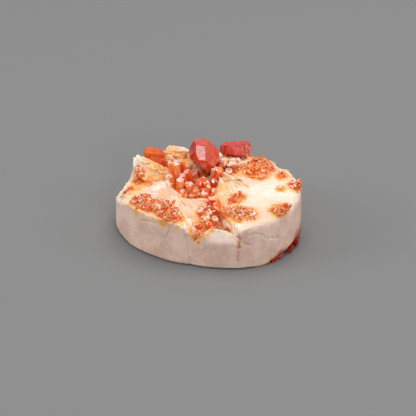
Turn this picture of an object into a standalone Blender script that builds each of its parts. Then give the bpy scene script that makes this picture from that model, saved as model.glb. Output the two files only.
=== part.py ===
"""Vanadinite druzy: red six-sided crystals on a cut oval of white, bladed barite.

The barite is one stone. Its side is ground upright, its base is cut flat, and its top is as it grew:
a shelf on the left, a domed block on the right, a hollow between them and a groove out to the front.
The frame has its origin in the middle of the flat base, +Z up, +X to the right and +Y to the back.
Lengths below are in millimetres, and MM turns them into metres as each mesh is made.
"""

import math
import random

import bmesh
import bpy
from mathutils import Matrix, Vector, geometry, noise
from mathutils.bvhtree import BVHTree

MM = 0.001

# The stone's driving dimensions
STONE_LENGTH = 28.0
STONE_WIDTH = 21.6
LONG_AXIS_TURN = math.radians(-23)
OUTLINE_CENTRE = Vector((-0.2, -0.4))

# The outline's departure from an ellipse: the ratio of the two radii by direction, in degrees
OUTLINE_RATIOS = [
    (-178, 0.988), (-169, 0.993), (-155, 1.010), (-141, 1.003), (-127, 0.996), (-115, 0.991),
    (-104, 0.967), (-96, 0.977), (-84, 0.986), (-72, 1.006), (-50, 1.006), (-30, 1.0), (-9, 1.012),
    (15, 1.0), (80, 1.0), (115, 0.965), (148, 0.935), (159, 0.938), (166, 0.96), (173, 0.983),
]
RIM_STEPS = 90
TOP_SPACING = 0.90
TOP_ROUGHNESS = 0.16
RELAX_ROUNDS = 3
NOISE_SEED = 5
UNDERCUT_INSET = 0.80

# Crystals of at least this radius have a bevelled end
BEVEL_FROM = 0.6

# The gap that a crystal keeps to the stone or the crystal that carries it
SEAT_GAP = 0.10

# The share of a cluster that the stone under it may take away
LARGEST_CUT = 0.65

# Height of the rim's top edge by its direction from the origin, in degrees
RIM_HEIGHTS = [
    (-176, 5.0), (-159, 6.7), (-148, 6.9), (-131, 6.9), (-115, 6.8), (-108, 6.2), (-104, 5.6),
    (-99, 4.0), (-94, 5.7), (-82, 6.1), (-73, 5.8), (-69, 5.1), (-66.5, 6.5), (-59, 7.2), (-50, 7.3),
    (-36, 7.2), (-21, 7.8), (-2, 8.4), (8, 8.2), (18, 7.8), (24, 7.3), (29, 6.8), (46, 6.9), (63, 6.6),
    (82, 6.4), (100, 6.7), (118, 7.0), (131, 7.1), (138, 6.9), (142, 7.2), (146, 7.1), (148.5, 5.5),
    (152, 4.4), (160, 4.1), (167, 3.9), (174, 4.3),
]

# How far the wall's lower edge is broken away above the base, by direction in degrees
UNDERCUT_HEIGHTS = [
    (-56, 0.0), (-50, 0.15), (-46, 0.65), (-41, 1.1), (-34, 1.15), (-29, 1.5), (-24, 1.8), (-9, 1.9),
    (10, 2.1), (30, 1.2), (50, 0.0),
]

# The lines that shape the top: crests, feet and floors, each a run of (x, y, z) points
SHELF_CREST = [
    (-11.6, 0.6, 6.0), (-9.3, 0.2, 6.7), (-7.8, 0.0, 7.3), (-6.5, -0.4, 7.7), (-5.3, -2.6, 7.8),
    (-4.3, -4.5, 7.7), (-3.1, -5.6, 7.3), (-2.9, -7.4, 6.7), (-3.1, -9.1, 6.3),
]
SHELF_MIDDLE = [(-11.3, -2.2, 6.5), (-8.7, -4.6, 7.0), (-6.4, -6.9, 7.1), (-4.5, -8.3, 7.0)]
LEFT_VALLEY = [(-11.8, 3.2, 4.1), (-9.5, 2.6, 4.9), (-8.0, 2.3, 5.3), (-6.4, 1.0, 5.2), (-5.0, 0.2, 4.7)]
BACK_RIDGE_CREST = [
    (-10.2, 7.5, 7.0), (-8.9, 6.4, 7.3), (-7.5, 4.8, 7.2), (-6.2, 3.1, 6.9), (-5.3, 2.2, 6.0),
]
BACK_RIDGE_FOOT = [(-11.0, 6.2, 5.0), (-9.9, 5.3, 4.7), (-8.5, 4.0, 5.4), (-6.9, 2.7, 5.8)]
BACK_TROUGH = [(-9.0, 8.4, 6.3), (-7.2, 7.4, 6.0), (-5.4, 5.6, 5.6), (-4.0, 4.4, 4.9)]
BACK_TERRACE = [
    (-6.8, 9.0, 7.4), (-4.6, 8.6, 7.1), (-2.4, 8.3, 6.7), (0.6, 8.0, 6.6), (2.4, 7.8, 7.4), (5.6, 7.2, 7.6),
]
HOLLOW_FLOOR = [(-3.4, 1.4, 4.1), (-1.6, 1.5, 3.8), (-0.2, 1.6, 4.0), (-0.4, 3.6, 4.4), (-0.6, 5.4, 5.2)]
FRONT_SILL = [(-2.6, -3.2, 6.4), (-1.5, -2.5, 6.2), (0.2, -2.4, 6.3)]
BLOCK_EDGE = [
    (2.0, 2.6, 7.3), (1.5, 0.3, 7.2), (1.4, -2.8, 7.1), (1.8, -6.0, 7.0), (2.9, -8.7, 6.8),
    (4.2, -10.9, 6.5),
]
BLOCK_FOOT = [(0.9, 2.2, 4.9), (0.6, 0.4, 4.6), (0.8, -1.6, 5.6)]
BLADE_RIDGE = [(2.0, 2.6, 7.4), (3.8, 0.8, 7.9), (5.6, -1.2, 8.0)]
POCKET_FLOOR = [(2.6, 4.6, 6.2), (4.2, 3.4, 7.0)]
POCKET_CREST = [(1.6, 6.6, 6.9), (2.8, 6.4, 7.7), (4.6, 5.9, 7.8), (6.0, 5.4, 8.2)]
ROSETTE_HILL = [(5.2, 3.0, 7.9), (6.4, 4.2, 8.4), (7.7, 4.4, 8.6), (8.6, 2.8, 8.4)]
BACK_VALLEY = [(9.0, 4.2, 7.6), (9.3, 2.6, 8.0)]
BACK_BUMP = [(10.0, 3.4, 8.0), (10.8, 2.4, 8.3), (11.8, 0.8, 8.3)]
DOME_CREST = [(5.6, -6.0, 7.7), (8.5, -6.0, 8.1), (8.9, -1.8, 8.5), (11.2, -2.6, 8.5), (10.4, 0.6, 8.4)]
GROOVE_FLOOR = [(0.9, -5.8, 5.6), (1.5, -7.4, 5.0), (2.5, -9.2, 4.7), (3.8, -11.1, 4.9)]
PARAPET_FOOT = [(0.4, -8.4, 5.4), (1.4, -9.6, 5.0)]
PARAPET_CREST = [(0.1, -10.2, 6.1), (1.6, -10.5, 6.2), (3.0, -10.8, 6.0)]
GULLY_FLOOR = [(-0.9, -4.8, 6.1), (-0.6, -7.4, 5.9), (-1.3, -9.5, 4.9)]
NOTCH_SIDE = [(-2.2, -8.0, 5.6), (-2.3, -9.8, 5.1)]
TOP_LINES = [
    SHELF_CREST, SHELF_MIDDLE, LEFT_VALLEY, BACK_RIDGE_CREST, BACK_RIDGE_FOOT, BACK_TROUGH,
    BACK_TERRACE, HOLLOW_FLOOR, FRONT_SILL, BLOCK_EDGE, BLOCK_FOOT, BLADE_RIDGE, POCKET_FLOOR,
    POCKET_CREST, ROSETTE_HILL, BACK_VALLEY, BACK_BUMP, DOME_CREST, GROOVE_FLOOR, PARAPET_FOOT,
    PARAPET_CREST, GULLY_FLOOR, NOTCH_SIDE,
]


def outline_point(angle, grow=0.0):
    """The plan point of the ground side, grown outwards, in this direction from the outline's centre."""
    along = angle - LONG_AXIS_TURN
    half_length = STONE_LENGTH / 2
    half_width = STONE_WIDTH / 2
    across = math.hypot(half_width * math.cos(along), half_length * math.sin(along))
    radius = half_length * half_width / across
    radius *= height_at(OUTLINE_RATIOS, angle)
    return OUTLINE_CENTRE + (radius + grow) * Vector((math.cos(angle), math.sin(angle)))


def height_at(heights, angle):
    """The value that a list of (degrees, value) gives in this direction, eased between its entries."""
    degrees = math.degrees(angle)
    ring = [(d - 360, h) for d, h in heights] + heights + [(d + 360, h) for d, h in heights]
    for (low, first), (high, last) in zip(ring, ring[1:]):
        if low <= degrees <= high:
            share = (degrees - low) / (high - low)
            return first + (last - first) * share * share * (3 - 2 * share)
    return heights[0][1]


def rim_angles():
    return [2 * math.pi * step / RIM_STEPS - math.pi for step in range(RIM_STEPS)]


def spaced(line, spacing):
    """The line's own points, and more between them where two are further apart than the spacing."""
    points = [Vector(line[0])]
    for start, end in zip(line, line[1:]):
        start, end = Vector(start), Vector(end)
        steps = max(1, math.ceil((end - start).length / spacing))
        points += [start.lerp(end, step / steps) for step in range(1, steps + 1)]
    return points


def triangulated(rim, lines, loose):
    """(points, faces) of the surface through the rim, along the lines and through the loose points."""
    points = list(rim)
    edges = [(i, (i + 1) % len(rim)) for i in range(len(rim))]
    for line in lines:
        first = len(points)
        points += line
        edges += [(i, i + 1) for i in range(first, len(points) - 1)]
    points += loose
    plan = geometry.delaunay_2d_cdt([p.xy for p in points], edges, [], 1, 1e-5)
    heights = [points[source[0]].z if source else 0.0 for source in plan[3]]
    return [Vector((*at, height)) for at, height in zip(plan[0], heights)], plan[2]


def relaxed(points, faces, fixed):
    """The loose points drawn to their neighbours' mean height, so that the ground sags between lines."""
    neighbours = [set() for _ in points]
    for face in faces:
        for a, b in zip(face, face[1:] + face[:1]):
            neighbours[a].add(b)
            neighbours[b].add(a)
    for _ in range(RELAX_ROUNDS):
        means = [sum(points[n].z for n in around) / len(around) for around in neighbours]
        for i in range(fixed, len(points)):
            points[i].z = 0.4 * points[i].z + 0.6 * means[i]
    return points


def top_surface():
    """(points, faces) of the natural top, with the rim's points first."""
    rim = [Vector((*outline_point(a), height_at(RIM_HEIGHTS, a))) for a in rim_angles()]
    lines = [spaced(line, TOP_SPACING) for line in TOP_LINES]
    drawn = rim + [p for line in lines for p in line]
    first = BVHTree.FromPolygons(*triangulated(rim, lines, []))
    loose = []
    rows = int(STONE_LENGTH / TOP_SPACING) + 2
    for row in range(-rows, rows):
        for column in range(-rows, rows):
            x = (column + 0.5 * (row % 2)) * TOP_SPACING
            y = row * TOP_SPACING * math.sqrt(3) / 2
            shift = noise.noise_vector((x * 3.1, y * 3.1, 0.7)) * 0.3 * TOP_SPACING
            at = Vector((x, y, 20.0)) + Vector((shift.x, shift.y, 0))
            hit = first.ray_cast(at, Vector((0, 0, -1)))[0]
            if hit and min((hit.xy - p.xy).length for p in drawn) > 0.55 * TOP_SPACING:
                loose.append(hit)
    points, faces = triangulated(rim, lines, loose)
    points = relaxed(points, faces, len(drawn))
    for point in points[RIM_STEPS:]:
        point.z += TOP_ROUGHNESS * noise.fractal(point * 0.9, 0.8, 2.0, 3)
    return points, faces


def new_object(name, points, faces, material=None):
    mesh = bpy.data.meshes.new(name)
    mesh.from_pydata([Vector(p) * MM for p in points], [], faces)
    obj = bpy.data.objects.new(name, mesh)
    bpy.context.scene.collection.objects.link(obj)
    if material:
        mesh.materials.append(material)
    tidy = bmesh.new()
    tidy.from_mesh(mesh)
    bmesh.ops.recalc_face_normals(tidy, faces=tidy.faces)
    tidy.to_mesh(mesh)
    tidy.free()
    return obj


def stone_body(name, top, grow=0.0):
    """The stone under its top: the ground side, the flat base and the broken edge at the right."""
    points = [p + Vector((0, 0, grow)) for p in top[0]]
    faces = [tuple(face) for face in top[1]]
    angles = rim_angles()
    rings = [list(range(RIM_STEPS))]
    for index, angle in enumerate(angles):
        points[index].xy = outline_point(angle, grow)
    undercut = [height_at(UNDERCUT_HEIGHTS, a) for a in angles]
    middle = [(h + height_at(RIM_HEIGHTS, a)) / 2 for h, a in zip(undercut, angles)]
    for heights, inset in ((middle, 1.0), (undercut, 1.0), ([0.0] * RIM_STEPS, UNDERCUT_INSET)):
        rings.append(list(range(len(points), len(points) + RIM_STEPS)))
        for angle, height in zip(angles, heights):
            at = outline_point(angle, grow) * inset
            points.append(Vector((*at, height - grow)))
    for upper, lower in zip(rings, rings[1:]):
        for i in range(RIM_STEPS):
            j = (i + 1) % RIM_STEPS
            faces.append((upper[i], upper[j], lower[j], lower[i]))
    faces.append(tuple(rings[-1]))
    return new_object(name, points, faces)


# Barite blades that stand out of the stone: (x, y) of the middle of the blade's upper edge, height of
# that edge, length, turn of its length in plan, rise along its length, lean, depth, thickness
BLADES = [
    (-4.5, 8.9, 8.15, 3.6, 0, -8, -36, 1.4, 0.80),
    (-5.8, 7.8, 7.40, 3.0, -34, -16, -32, 1.4, 0.70),
    (-9.6, 7.2, 7.35, 2.8, -36, -2, -30, 1.9, 1.00),
    (-8.5, 6.0, 7.40, 4.0, -40, -6, -40, 1.6, 0.55),
    (-7.4, 4.6, 7.10, 3.4, -44, -12, -46, 1.5, 0.50),
    (-9.0, 5.1, 6.60, 3.4, -42, -12, -50, 1.4, 0.50),
    (-7.6, 3.9, 6.30, 3.0, -38, -10, -52, 1.3, 0.45),
    (-3.4, 7.4, 6.90, 2.6, -24, -6, -38, 1.3, 0.50),
    (-6.8, -0.2, 7.70, 3.0, -8, 3, 36, 1.5, 0.55),
    (-5.2, -2.6, 7.90, 3.6, -58, -3, 32, 1.7, 0.65),
    (-3.5, -5.0, 7.55, 2.8, -46, -8, 30, 1.6, 0.55),
    (1.8, 0.4, 7.45, 4.0, -84, 2, 10, 2.4, 0.70),
    (1.6, -3.6, 7.25, 3.8, -86, -2, 12, 2.0, 0.60),
    (3.7, 0.2, 8.05, 5.2, -53, 2, 20, 1.5, 0.45),
    (4.5, 0.9, 8.00, 3.6, -50, 2, 24, 1.4, 0.35),
    (2.6, 6.2, 7.80, 2.4, 14, 12, 20, 1.7, 0.45),
    (3.9, 5.8, 8.05, 2.4, 30, 12, -28, 1.6, 0.40),
    (5.5, 5.6, 8.25, 2.4, -28, -6, 16, 1.9, 0.50),
    (9.3, 4.2, 8.15, 2.8, -51, -10, 12, 1.8, 0.70),
    (11.3, 2.2, 8.35, 2.8, -56, 4, -20, 1.9, 0.90),
    (-0.7, -2.8, 6.50, 2.6, -10, 2, 36, 1.4, 0.55),
    (-11.4, -0.4, 6.30, 2.4, 62, -12, 30, 1.6, 0.60),
]


def barite_blade(name, blade, grow=0.0):
    """A thin plate on edge: a long six-sided outline with a chisel edge along its top."""
    x, y, z, length, turn, rise, lean, depth, thickness = blade
    half = length / 2 + grow
    side = thickness / 2 + grow
    top = grow
    low = -depth - grow
    shoulder = 0.30 * depth
    corner = 0.16 * length
    outline = [
        (-half + corner, top), (half - corner, top), (half, -shoulder),
        (half - corner, low), (-half + corner, low), (-half, -shoulder),
    ]
    points = [Vector((along, across, up)) for across in (-side, side) for along, up in outline]
    for index in (0, 1, 6, 7):
        points[index].y *= 0.35
    for index in (0, 1):
        points[index].z += 0.1 * depth
        points[index + 6].z += 0.1 * depth
    place = (
        Matrix.Translation((x, y, z))
        @ Matrix.Rotation(math.radians(turn), 4, "Z")
        @ Matrix.Rotation(math.radians(-rise), 4, "Y")
        @ Matrix.Rotation(math.radians(lean), 4, "X")
    )
    count = len(outline)
    faces = [tuple(range(count)), tuple(range(2 * count - 1, count - 1, -1))]
    faces += [(i, i + count, (i + 1) % count + count, (i + 1) % count) for i in range(count)]
    return new_object(name, [place @ p for p in points], faces)


def frame_on(axis):
    """A rotation that takes +Z to the axis and keeps +X as near to the right as it can."""
    along = Vector(axis).normalized()
    start = Vector((1, 0, 0)) if abs(along.x) < 0.8 else Vector((0, 0, 1))
    across = (start - along * start.dot(along)).normalized()
    return Matrix((across, along.cross(across), along)).transposed()


def hexagonal_prism(name, centre, axis, rings, turn=0.0):
    """A six-sided crystal on this axis through its centre. A ring is (distance along the axis, radius)."""
    upright = frame_on(axis)
    points = []
    for along, radius in rings:
        for corner in range(6):
            angle = turn + corner * math.pi / 3
            flat = Vector((radius * math.cos(angle), radius * math.sin(angle), along))
            points.append(Vector(centre) + upright @ flat)
    faces = [tuple(range(5, -1, -1)), tuple(range(len(points) - 6, len(points)))]
    for ring in range(len(rings) - 1):
        first = 6 * ring
        for i in range(6):
            j = (i + 1) % 6
            faces.append((first + i, first + j, first + j + 6, first + i + 6))
    return new_object(name, points, faces)


def facet_direction(around, rise):
    """The unit vector at this many degrees around from +X and up from level."""
    flat = Matrix.Rotation(math.radians(around), 3, "Z")
    return flat @ Matrix.Rotation(math.radians(-rise), 3, "Y") @ Vector((1, 0, 0))


def faceted_crystal(name, centre, facets, grow=0.0):
    """A crystal cut flat by each facet: (degrees around, degrees of rise, distance from the centre)."""
    block = bmesh.new()
    bmesh.ops.create_cube(block, size=16.0)
    for around, rise, distance in facets:
        outward = facet_direction(around, rise)
        parts = list(block.verts) + list(block.edges) + list(block.faces)
        flat = outward * (distance + grow)
        bmesh.ops.bisect_plane(block, geom=parts, plane_co=flat, plane_no=outward, clear_outer=True)
        bmesh.ops.holes_fill(block, edges=[e for e in block.edges if e.is_boundary])
    bmesh.ops.remove_doubles(block, verts=block.verts, dist=0.02)
    block.verts.index_update()
    points = [Vector(centre) + v.co for v in block.verts]
    faces = [tuple(v.index for v in face.verts) for face in block.faces]
    block.free()
    return new_object(name, points, faces)


def stubby(radius, length, bevel=0.22):
    """The rings of a short crystal, whose free end is bevelled on the bigger ones."""
    if radius < BEVEL_FROM:
        return [(-length / 2, radius), (length / 2, radius)]
    return [(-length / 2, radius), (length / 2 - bevel * radius, radius), (length / 2, radius * 0.72)]


def seat_lump(name, centre, normal, radius, thickness):
    """The low mound of crust that the crystals of a cluster grow from."""
    lump = bmesh.new()
    bmesh.ops.create_icosphere(lump, subdivisions=1, radius=1.0)
    upright = frame_on(normal).to_4x4()
    place = Matrix.Translation(centre) @ upright @ Matrix.Diagonal((radius, radius, thickness, 1))
    points = [place @ v.co for v in lump.verts]
    faces = [tuple(v.index for v in face.verts) for face in lump.faces]
    lump.free()
    return new_object(name, points, faces)


def evaluated_copy(obj, name):
    """A new mesh object that holds what the object's modifiers give, and the object removed."""
    bpy.context.view_layer.update()
    graph = bpy.context.evaluated_depsgraph_get()
    mesh = bpy.data.meshes.new_from_object(obj.evaluated_get(graph))
    bpy.data.objects.remove(obj)
    made = bpy.data.objects.new(name, mesh)
    mesh.name = name
    bpy.context.scene.collection.objects.link(made)
    return made


def fused(name, pieces):
    """The Boolean union of the pieces as one object."""
    first, others = pieces[0], pieces[1:]
    group = bpy.data.collections.new(name + "_pieces")
    bpy.context.scene.collection.children.link(group)
    for piece in others:
        group.objects.link(piece)
        bpy.context.scene.collection.objects.unlink(piece)
    join = first.modifiers.new("join", "BOOLEAN")
    join.operation = "UNION"
    join.operand_type = "COLLECTION"
    join.collection = group
    made = evaluated_copy(first, name)
    for piece in others:
        bpy.data.objects.remove(piece)
    bpy.data.collections.remove(group)
    return made


def closed_volume(mesh):
    """The volume inside the mesh, or 0 where it isn't closed."""
    shape = bmesh.new()
    shape.from_mesh(mesh)
    closed = all(edge.is_manifold for edge in shape.edges)
    volume = shape.calc_volume() if closed else 0.0
    shape.free()
    return volume


def trimmed(obj, operation, tool):
    """The object after one Boolean with the tool, which stays. No cut takes as much as LARGEST_CUT."""
    trim = obj.modifiers.new("trim", "BOOLEAN")
    trim.operation = operation
    trim.object = tool
    bpy.context.view_layer.update()
    graph = bpy.context.evaluated_depsgraph_get()
    least = (1 - LARGEST_CUT) * closed_volume(obj.data)
    if closed_volume(obj.evaluated_get(graph).data) < least:
        trim.solver = "MANIFOLD"
    name = obj.name
    obj.name = name + "_before"
    return evaluated_copy(obj, name)


def largest_body(obj):
    """Deletes the crumbs that a cut leaves beside the main body."""
    whole = bmesh.new()
    whole.from_mesh(obj.data)
    bmesh.ops.remove_doubles(whole, verts=whole.verts, dist=0.002 * MM)
    bmesh.ops.dissolve_degenerate(whole, dist=0.002 * MM, edges=whole.edges)
    left = set(whole.verts)
    bodies = []
    while left:
        body, edge = set(), [left.pop()]
        while edge:
            vert = edge.pop()
            body.add(vert)
            fresh = [e.other_vert(vert) for e in vert.link_edges if e.other_vert(vert) in left]
            left.difference_update(fresh)
            edge += fresh
        bodies.append(body)
    bodies.sort(key=len)
    crumbs = [v for body in bodies[:-1] for v in body]
    bmesh.ops.delete(whole, geom=crumbs, context="VERTS")
    whole.to_mesh(obj.data)
    whole.free()


def finish_material(name, colour, roughness, metallic=0.0):
    material = bpy.data.materials.new(name)
    material.use_nodes = True
    shader = material.node_tree.nodes["Principled BSDF"]
    shader.inputs["Base Color"].default_value = (*colour, 1.0)
    shader.inputs["Roughness"].default_value = roughness
    shader.inputs["Metallic"].default_value = metallic
    return material


class Ground:
    """The natural top as something to stand crystals on."""

    def __init__(self, top):
        self.tree = BVHTree.FromPolygons(*top)

    def at(self, x, y):
        """(point, normal) of the top at this plan position."""
        hit, normal, _, _ = self.tree.ray_cast(Vector((x, y, 30.0)), Vector((0, 0, -1)))
        if hit is None:
            hit, normal, _, _ = self.tree.find_nearest(Vector((x, y, 7.0)))
        return hit, normal if normal.z > 0 else -normal


def cluster_pieces(name, ground, crystals, lumps, sink=0.35):
    """A cluster's crystals (x, y, radius, length, lean to x, lean to y, lift) and lumps (x, y, radius,
    thickness)."""
    pieces = []
    for x, y, radius, thickness in lumps:
        point, normal = ground.at(x, y)
        pieces.append(seat_lump(f"{name}_lump{len(pieces)}", point, normal, radius, thickness))
    for x, y, radius, length, lean_x, lean_y, lift in crystals:
        point, _ = ground.at(x, y)
        axis = Vector((lean_x, lean_y, 1.0)).normalized()
        centre = point + axis * (length / 2 - sink * length) + Vector((0, 0, lift))
        turn = 1.7 * x + 2.3 * y
        rings = stubby(radius, length)
        pieces.append(hexagonal_prism(f"{name}_{len(pieces)}", centre, axis, rings, turn))
    return pieces


def sprinkled(seed, spots, radii, lean=0.7, aspect=(0.9, 1.5)):
    """Crystals round each spot (x, y, spread, count), with sizes and leans drawn from their ranges."""
    draw = random.Random(seed)
    crystals = []
    for x, y, spread, count in spots:
        for step in range(count):
            angle = 2.399963 * step + draw.uniform(-0.4, 0.4)
            away = spread * math.sqrt((step + 0.4) / count)
            radius = draw.uniform(*radii)
            out_x, out_y = math.cos(angle), math.sin(angle)
            length = 2 * radius * draw.uniform(*aspect)
            lean_x = lean * (0.5 * out_x + draw.uniform(-0.8, 0.8))
            lean_y = lean * (0.5 * out_y + draw.uniform(-0.9, 0.6))
            crystals.append((x + away * out_x, y + away * out_y, radius, length, lean_x, lean_y, 0.0))
    return crystals


# Clusters: crystals placed one by one, or sprinkled round spots, and the lumps that they share
HOLLOW_CRYSTALS = [
    (-4.9, 3.4, 0.98, 4.2, -0.06, 0.02, 0.7), (-4.2, 1.4, 0.62, 3.0, 0.04, -0.05, 0.7),
    (-2.8, 1.6, 0.78, 2.8, -0.05, 0.05, 0.6), (-1.8, 1.1, 1.00, 1.9, 0.10, -0.25, 0.3),
    (-0.8, 1.4, 0.82, 2.6, 0.05, 0.00, 0.5), (0.3, 1.9, 0.62, 3.0, 0.55, 0.15, 0.6),
    (1.2, 2.8, 0.62, 2.8, 0.25, -0.30, 0.9), (-3.2, 4.6, 0.55, 3.2, -0.45, 0.15, 1.0),
    (-2.6, 3.7, 0.60, 3.0, -0.35, 0.05, 0.9), (-3.6, 2.8, 0.55, 3.0, -0.15, -0.10, 0.7),
    (-1.4, 2.6, 0.62, 2.6, 0.40, 0.05, 0.7), (-3.6, 0.3, 0.68, 1.9, -0.25, -0.25, 0.3),
    (-0.6, 0.1, 0.70, 1.9, 0.10, -0.30, 0.3), (0.5, 0.4, 0.60, 2.2, 0.35, -0.20, 0.4),
    (-5.3, 1.9, 0.60, 2.6, -0.30, -0.10, 0.5), (0.9, 4.0, 0.60, 2.6, 0.02, -0.10, 0.6),
    (-1.7, 5.0, 0.75, 2.2, -0.40, -0.15, 0.2), (-3.0, 5.6, 0.70, 1.9, -0.30, -0.10, 0.3),
    (-4.2, 4.8, 0.65, 1.9, -0.45, 0.20, 0.3),
]
HOLLOW_LUMPS = [
    (-3.7, 2.2, 2.5, 1.0), (-1.5, 2.2, 2.7, 1.1), (0.2, 3.0, 2.2, 0.9), (-1.6, 4.8, 2.5, 0.9),
]
GULLY_CRYSTALS = [
    (1.0, -5.5, 0.90, 1.8, 0.45, -0.20, 0.1), (-0.3, -5.0, 0.75, 1.5, -0.20, -0.35, 0.1),
    (0.3, -4.2, 0.65, 1.4, 0.25, 0.20, 0.1), (0.3, -6.4, 0.65, 1.6, -0.45, -0.45, 0.1),
    (-0.8, -6.3, 0.55, 1.4, -0.45, -0.20, 0.1), (-0.4, -7.5, 0.65, 1.5, 0.20, -0.60, 0.1),
    (0.6, -7.6, 0.55, 1.5, 0.40, -0.30, 0.2), (-1.1, -8.6, 0.55, 1.3, -0.35, -0.45, 0.1),
    (-0.2, -8.8, 0.50, 1.3, 0.30, -0.30, 0.1), (-1.6, -10.3, 0.65, 1.3, -0.15, -0.40, 0.1),
    (-2.2, -10.1, 0.50, 1.0, -0.45, -0.30, 0.1),
]
GULLY_LUMPS = [
    (0.3, -5.4, 1.6, 0.55), (0.0, -7.1, 1.4, 0.5), (-0.8, -8.6, 1.3, 0.5), (-1.5, -10.0, 1.3, 0.5),
]
RIM_SPOTS = [
    (-10.3, -3.9, 0.9, 4), (-9.1, -5.0, 1.0, 4), (-7.8, -6.1, 1.1, 5), (-6.4, -7.1, 1.1, 5),
    (-5.1, -8.2, 1.0, 5),
]
RIM_LUMPS = [
    (-10.2, -4.0, 1.3, 0.45), (-8.9, -5.1, 1.6, 0.5), (-7.6, -6.2, 1.6, 0.5), (-6.3, -7.2, 1.6, 0.5),
    (-5.1, -8.2, 1.5, 0.5),
]
ROSETTE_SPOTS = [(7.5, 3.2, 1.5, 8), (7.7, 1.2, 1.1, 4), (6.0, 2.6, 0.9, 3)]
ROSETTE_LUMPS = [(7.4, 3.2, 2.0, 0.55), (7.6, 1.4, 1.6, 0.5), (6.1, 2.6, 1.3, 0.45)]
KNOT_SPOTS = [(4.0, -4.3, 0.7, 5)]
KNOT_LUMPS = [(4.0, -4.3, 1.1, 0.4)]
LIP_SPOTS = [(3.1, -7.2, 0.8, 4), (4.6, -8.2, 1.1, 5), (5.9, -8.2, 0.8, 3)]
LIP_LUMPS = [(3.2, -7.3, 1.2, 0.45), (4.6, -8.1, 1.6, 0.5), (5.8, -8.2, 1.2, 0.45)]
SHOULDER_SPOTS = [(10.4, -7.7, 1.0, 6)]
SHOULDER_LUMPS = [(10.4, -7.6, 1.4, 0.5)]
EDGE_SPOTS = [(12.6, -2.0, 0.7, 4)]
EDGE_LUMPS = [(12.5, -2.1, 1.0, 0.45)]
SPOT_SPOTS = [(10.7, 0.6, 0.5, 3)]
SPOT_LUMPS = [(10.7, 0.6, 0.8, 0.3)]
CAVITY_CRYSTALS = [
    (-10.0, 5.5, 0.50, 1.2, -0.20, -0.55, 0.1), (-9.4, 4.9, 0.45, 1.1, 0.35, -0.45, 0.1),
    (-10.5, 5.1, 0.40, 1.0, -0.35, -0.30, 0.1),
]
CAVITY_LUMPS = [(-10.0, 5.1, 1.1, 0.45)]
LEFT_SPOTS = [(-11.7, 0.2, 0.6, 3)]
LEFT_LUMPS = [(-11.7, 0.2, 0.9, 0.35)]
POCKET_CRYSTALS = [
    (2.3, 5.1, 0.75, 1.9, -0.25, -0.20, 0.2), (3.4, 4.9, 0.60, 1.7, 0.25, -0.45, 0.2),
    (2.9, 4.0, 0.55, 1.5, 0.10, -0.45, 0.1), (4.2, 4.5, 0.45, 1.3, 0.35, -0.30, 0.1),
]
POCKET_LUMPS = [(2.8, 4.6, 1.4, 0.6), (3.9, 4.5, 1.0, 0.45)]

# The tall crystal: its centre, and its facets, each by direction and distance from the centre
TALL_CENTRE = (-0.55, 5.4, 8.6)
TALL_FACETS = [
    (18, 81, 2.34), (-41, 24, 1.50), (-80, 32, 1.97), (-164, 18, 2.15), (-145, 1, 1.90), (-88, -15, 1.69),
    (-140, -35, 1.50), (-60, -38, 2.10), (-32, -21, 2.02), (12, 2, 2.10), (65, 12, 2.10), (120, 10, 2.15),
    (168, 25, 2.60), (172, -12, 2.15), (60, -40, 2.30), (150, -40, 2.20), (0, -90, 3.20), (15, 45, 2.06),
    (100, 55, 2.70),
]

# Other single crystals: centre, direction of the six-sided axis, rings of (along the axis, radius), turn
LYING_CRYSTAL = (
    (3.95, 6.9, 8.95), (1.0, -0.45, 0.20), [(-2.35, 0.65), (-1.75, 1.12), (1.7, 1.46), (2.1, 1.22)],
    math.radians(30),
)
ORANGE_FINGER = (
    (-8.0, 7.7, 7.95), (1.0, -0.28, -0.02), [(-1.45, 0.45), (-1.1, 0.85), (1.0, 0.8), (1.6, 0.35)],
    math.radians(8),
)
ORANGE_FINGER_FOOT = (
    (-7.4, 7.2, 7.10), (0.9, -0.5, -0.3), [(-1.2, 0.5), (-0.8, 0.85), (0.8, 0.8), (1.2, 0.4)],
    math.radians(20),
)
BEAD_CRYSTAL = ((10.5, -3.0, 8.62), (0.1, -0.2, 1.0), [(-0.2, 0.36), (0.12, 0.36), (0.3, 0.16)], 0.0)

# Crystals under the right end: low and high direction and count, and the three largest ones
UNDERSIDE_DIRECTIONS = [(-47, -27, 3), (-14, 30, 4)]
UNDERSIDE_LARGE = [
    (12.5, -4.9, 0.95, 0.85, 1.7, -0.2), (11.7, -6.6, 0.55, 0.60, 1.4, 0.1),
    (9.2, -9.2, 0.45, 0.50, 1.3, -0.1),
]


ORANGE_NODES = ("cavity_crystals", "orange_finger", "bead_crystal")


def clean_scene():
    for obj in list(bpy.data.objects):
        bpy.data.objects.remove(obj)


def make_envelope():
    """The column of space inside the ground side, from the base up, that every crystal is cut to."""
    points = []
    for height in (0.02, 20.0):
        points += [Vector((*outline_point(a, -0.02), height)) for a in rim_angles()]
    count = RIM_STEPS
    faces = [tuple(range(count)), tuple(range(2 * count - 1, count - 1, -1))]
    faces += [(i, (i + 1) % count, (i + 1) % count + count, i + count) for i in range(count)]
    return new_object("envelope", points, faces)


def make_matrix(name, top, grow=0.0):
    pieces = [stone_body(name + "_body", top, grow)]
    pieces += [barite_blade(f"{name}_blade{i}", blade, grow) for i, blade in enumerate(BLADES)]
    return fused(name, pieces)


def make_large_crystal(name, crystal, grow=0.0):
    centre, axis, rings, turn = crystal
    grown = [(along + math.copysign(grow, along), radius + grow * 1.2) for along, radius in rings]
    return hexagonal_prism(name, centre, axis, grown, turn)


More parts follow.
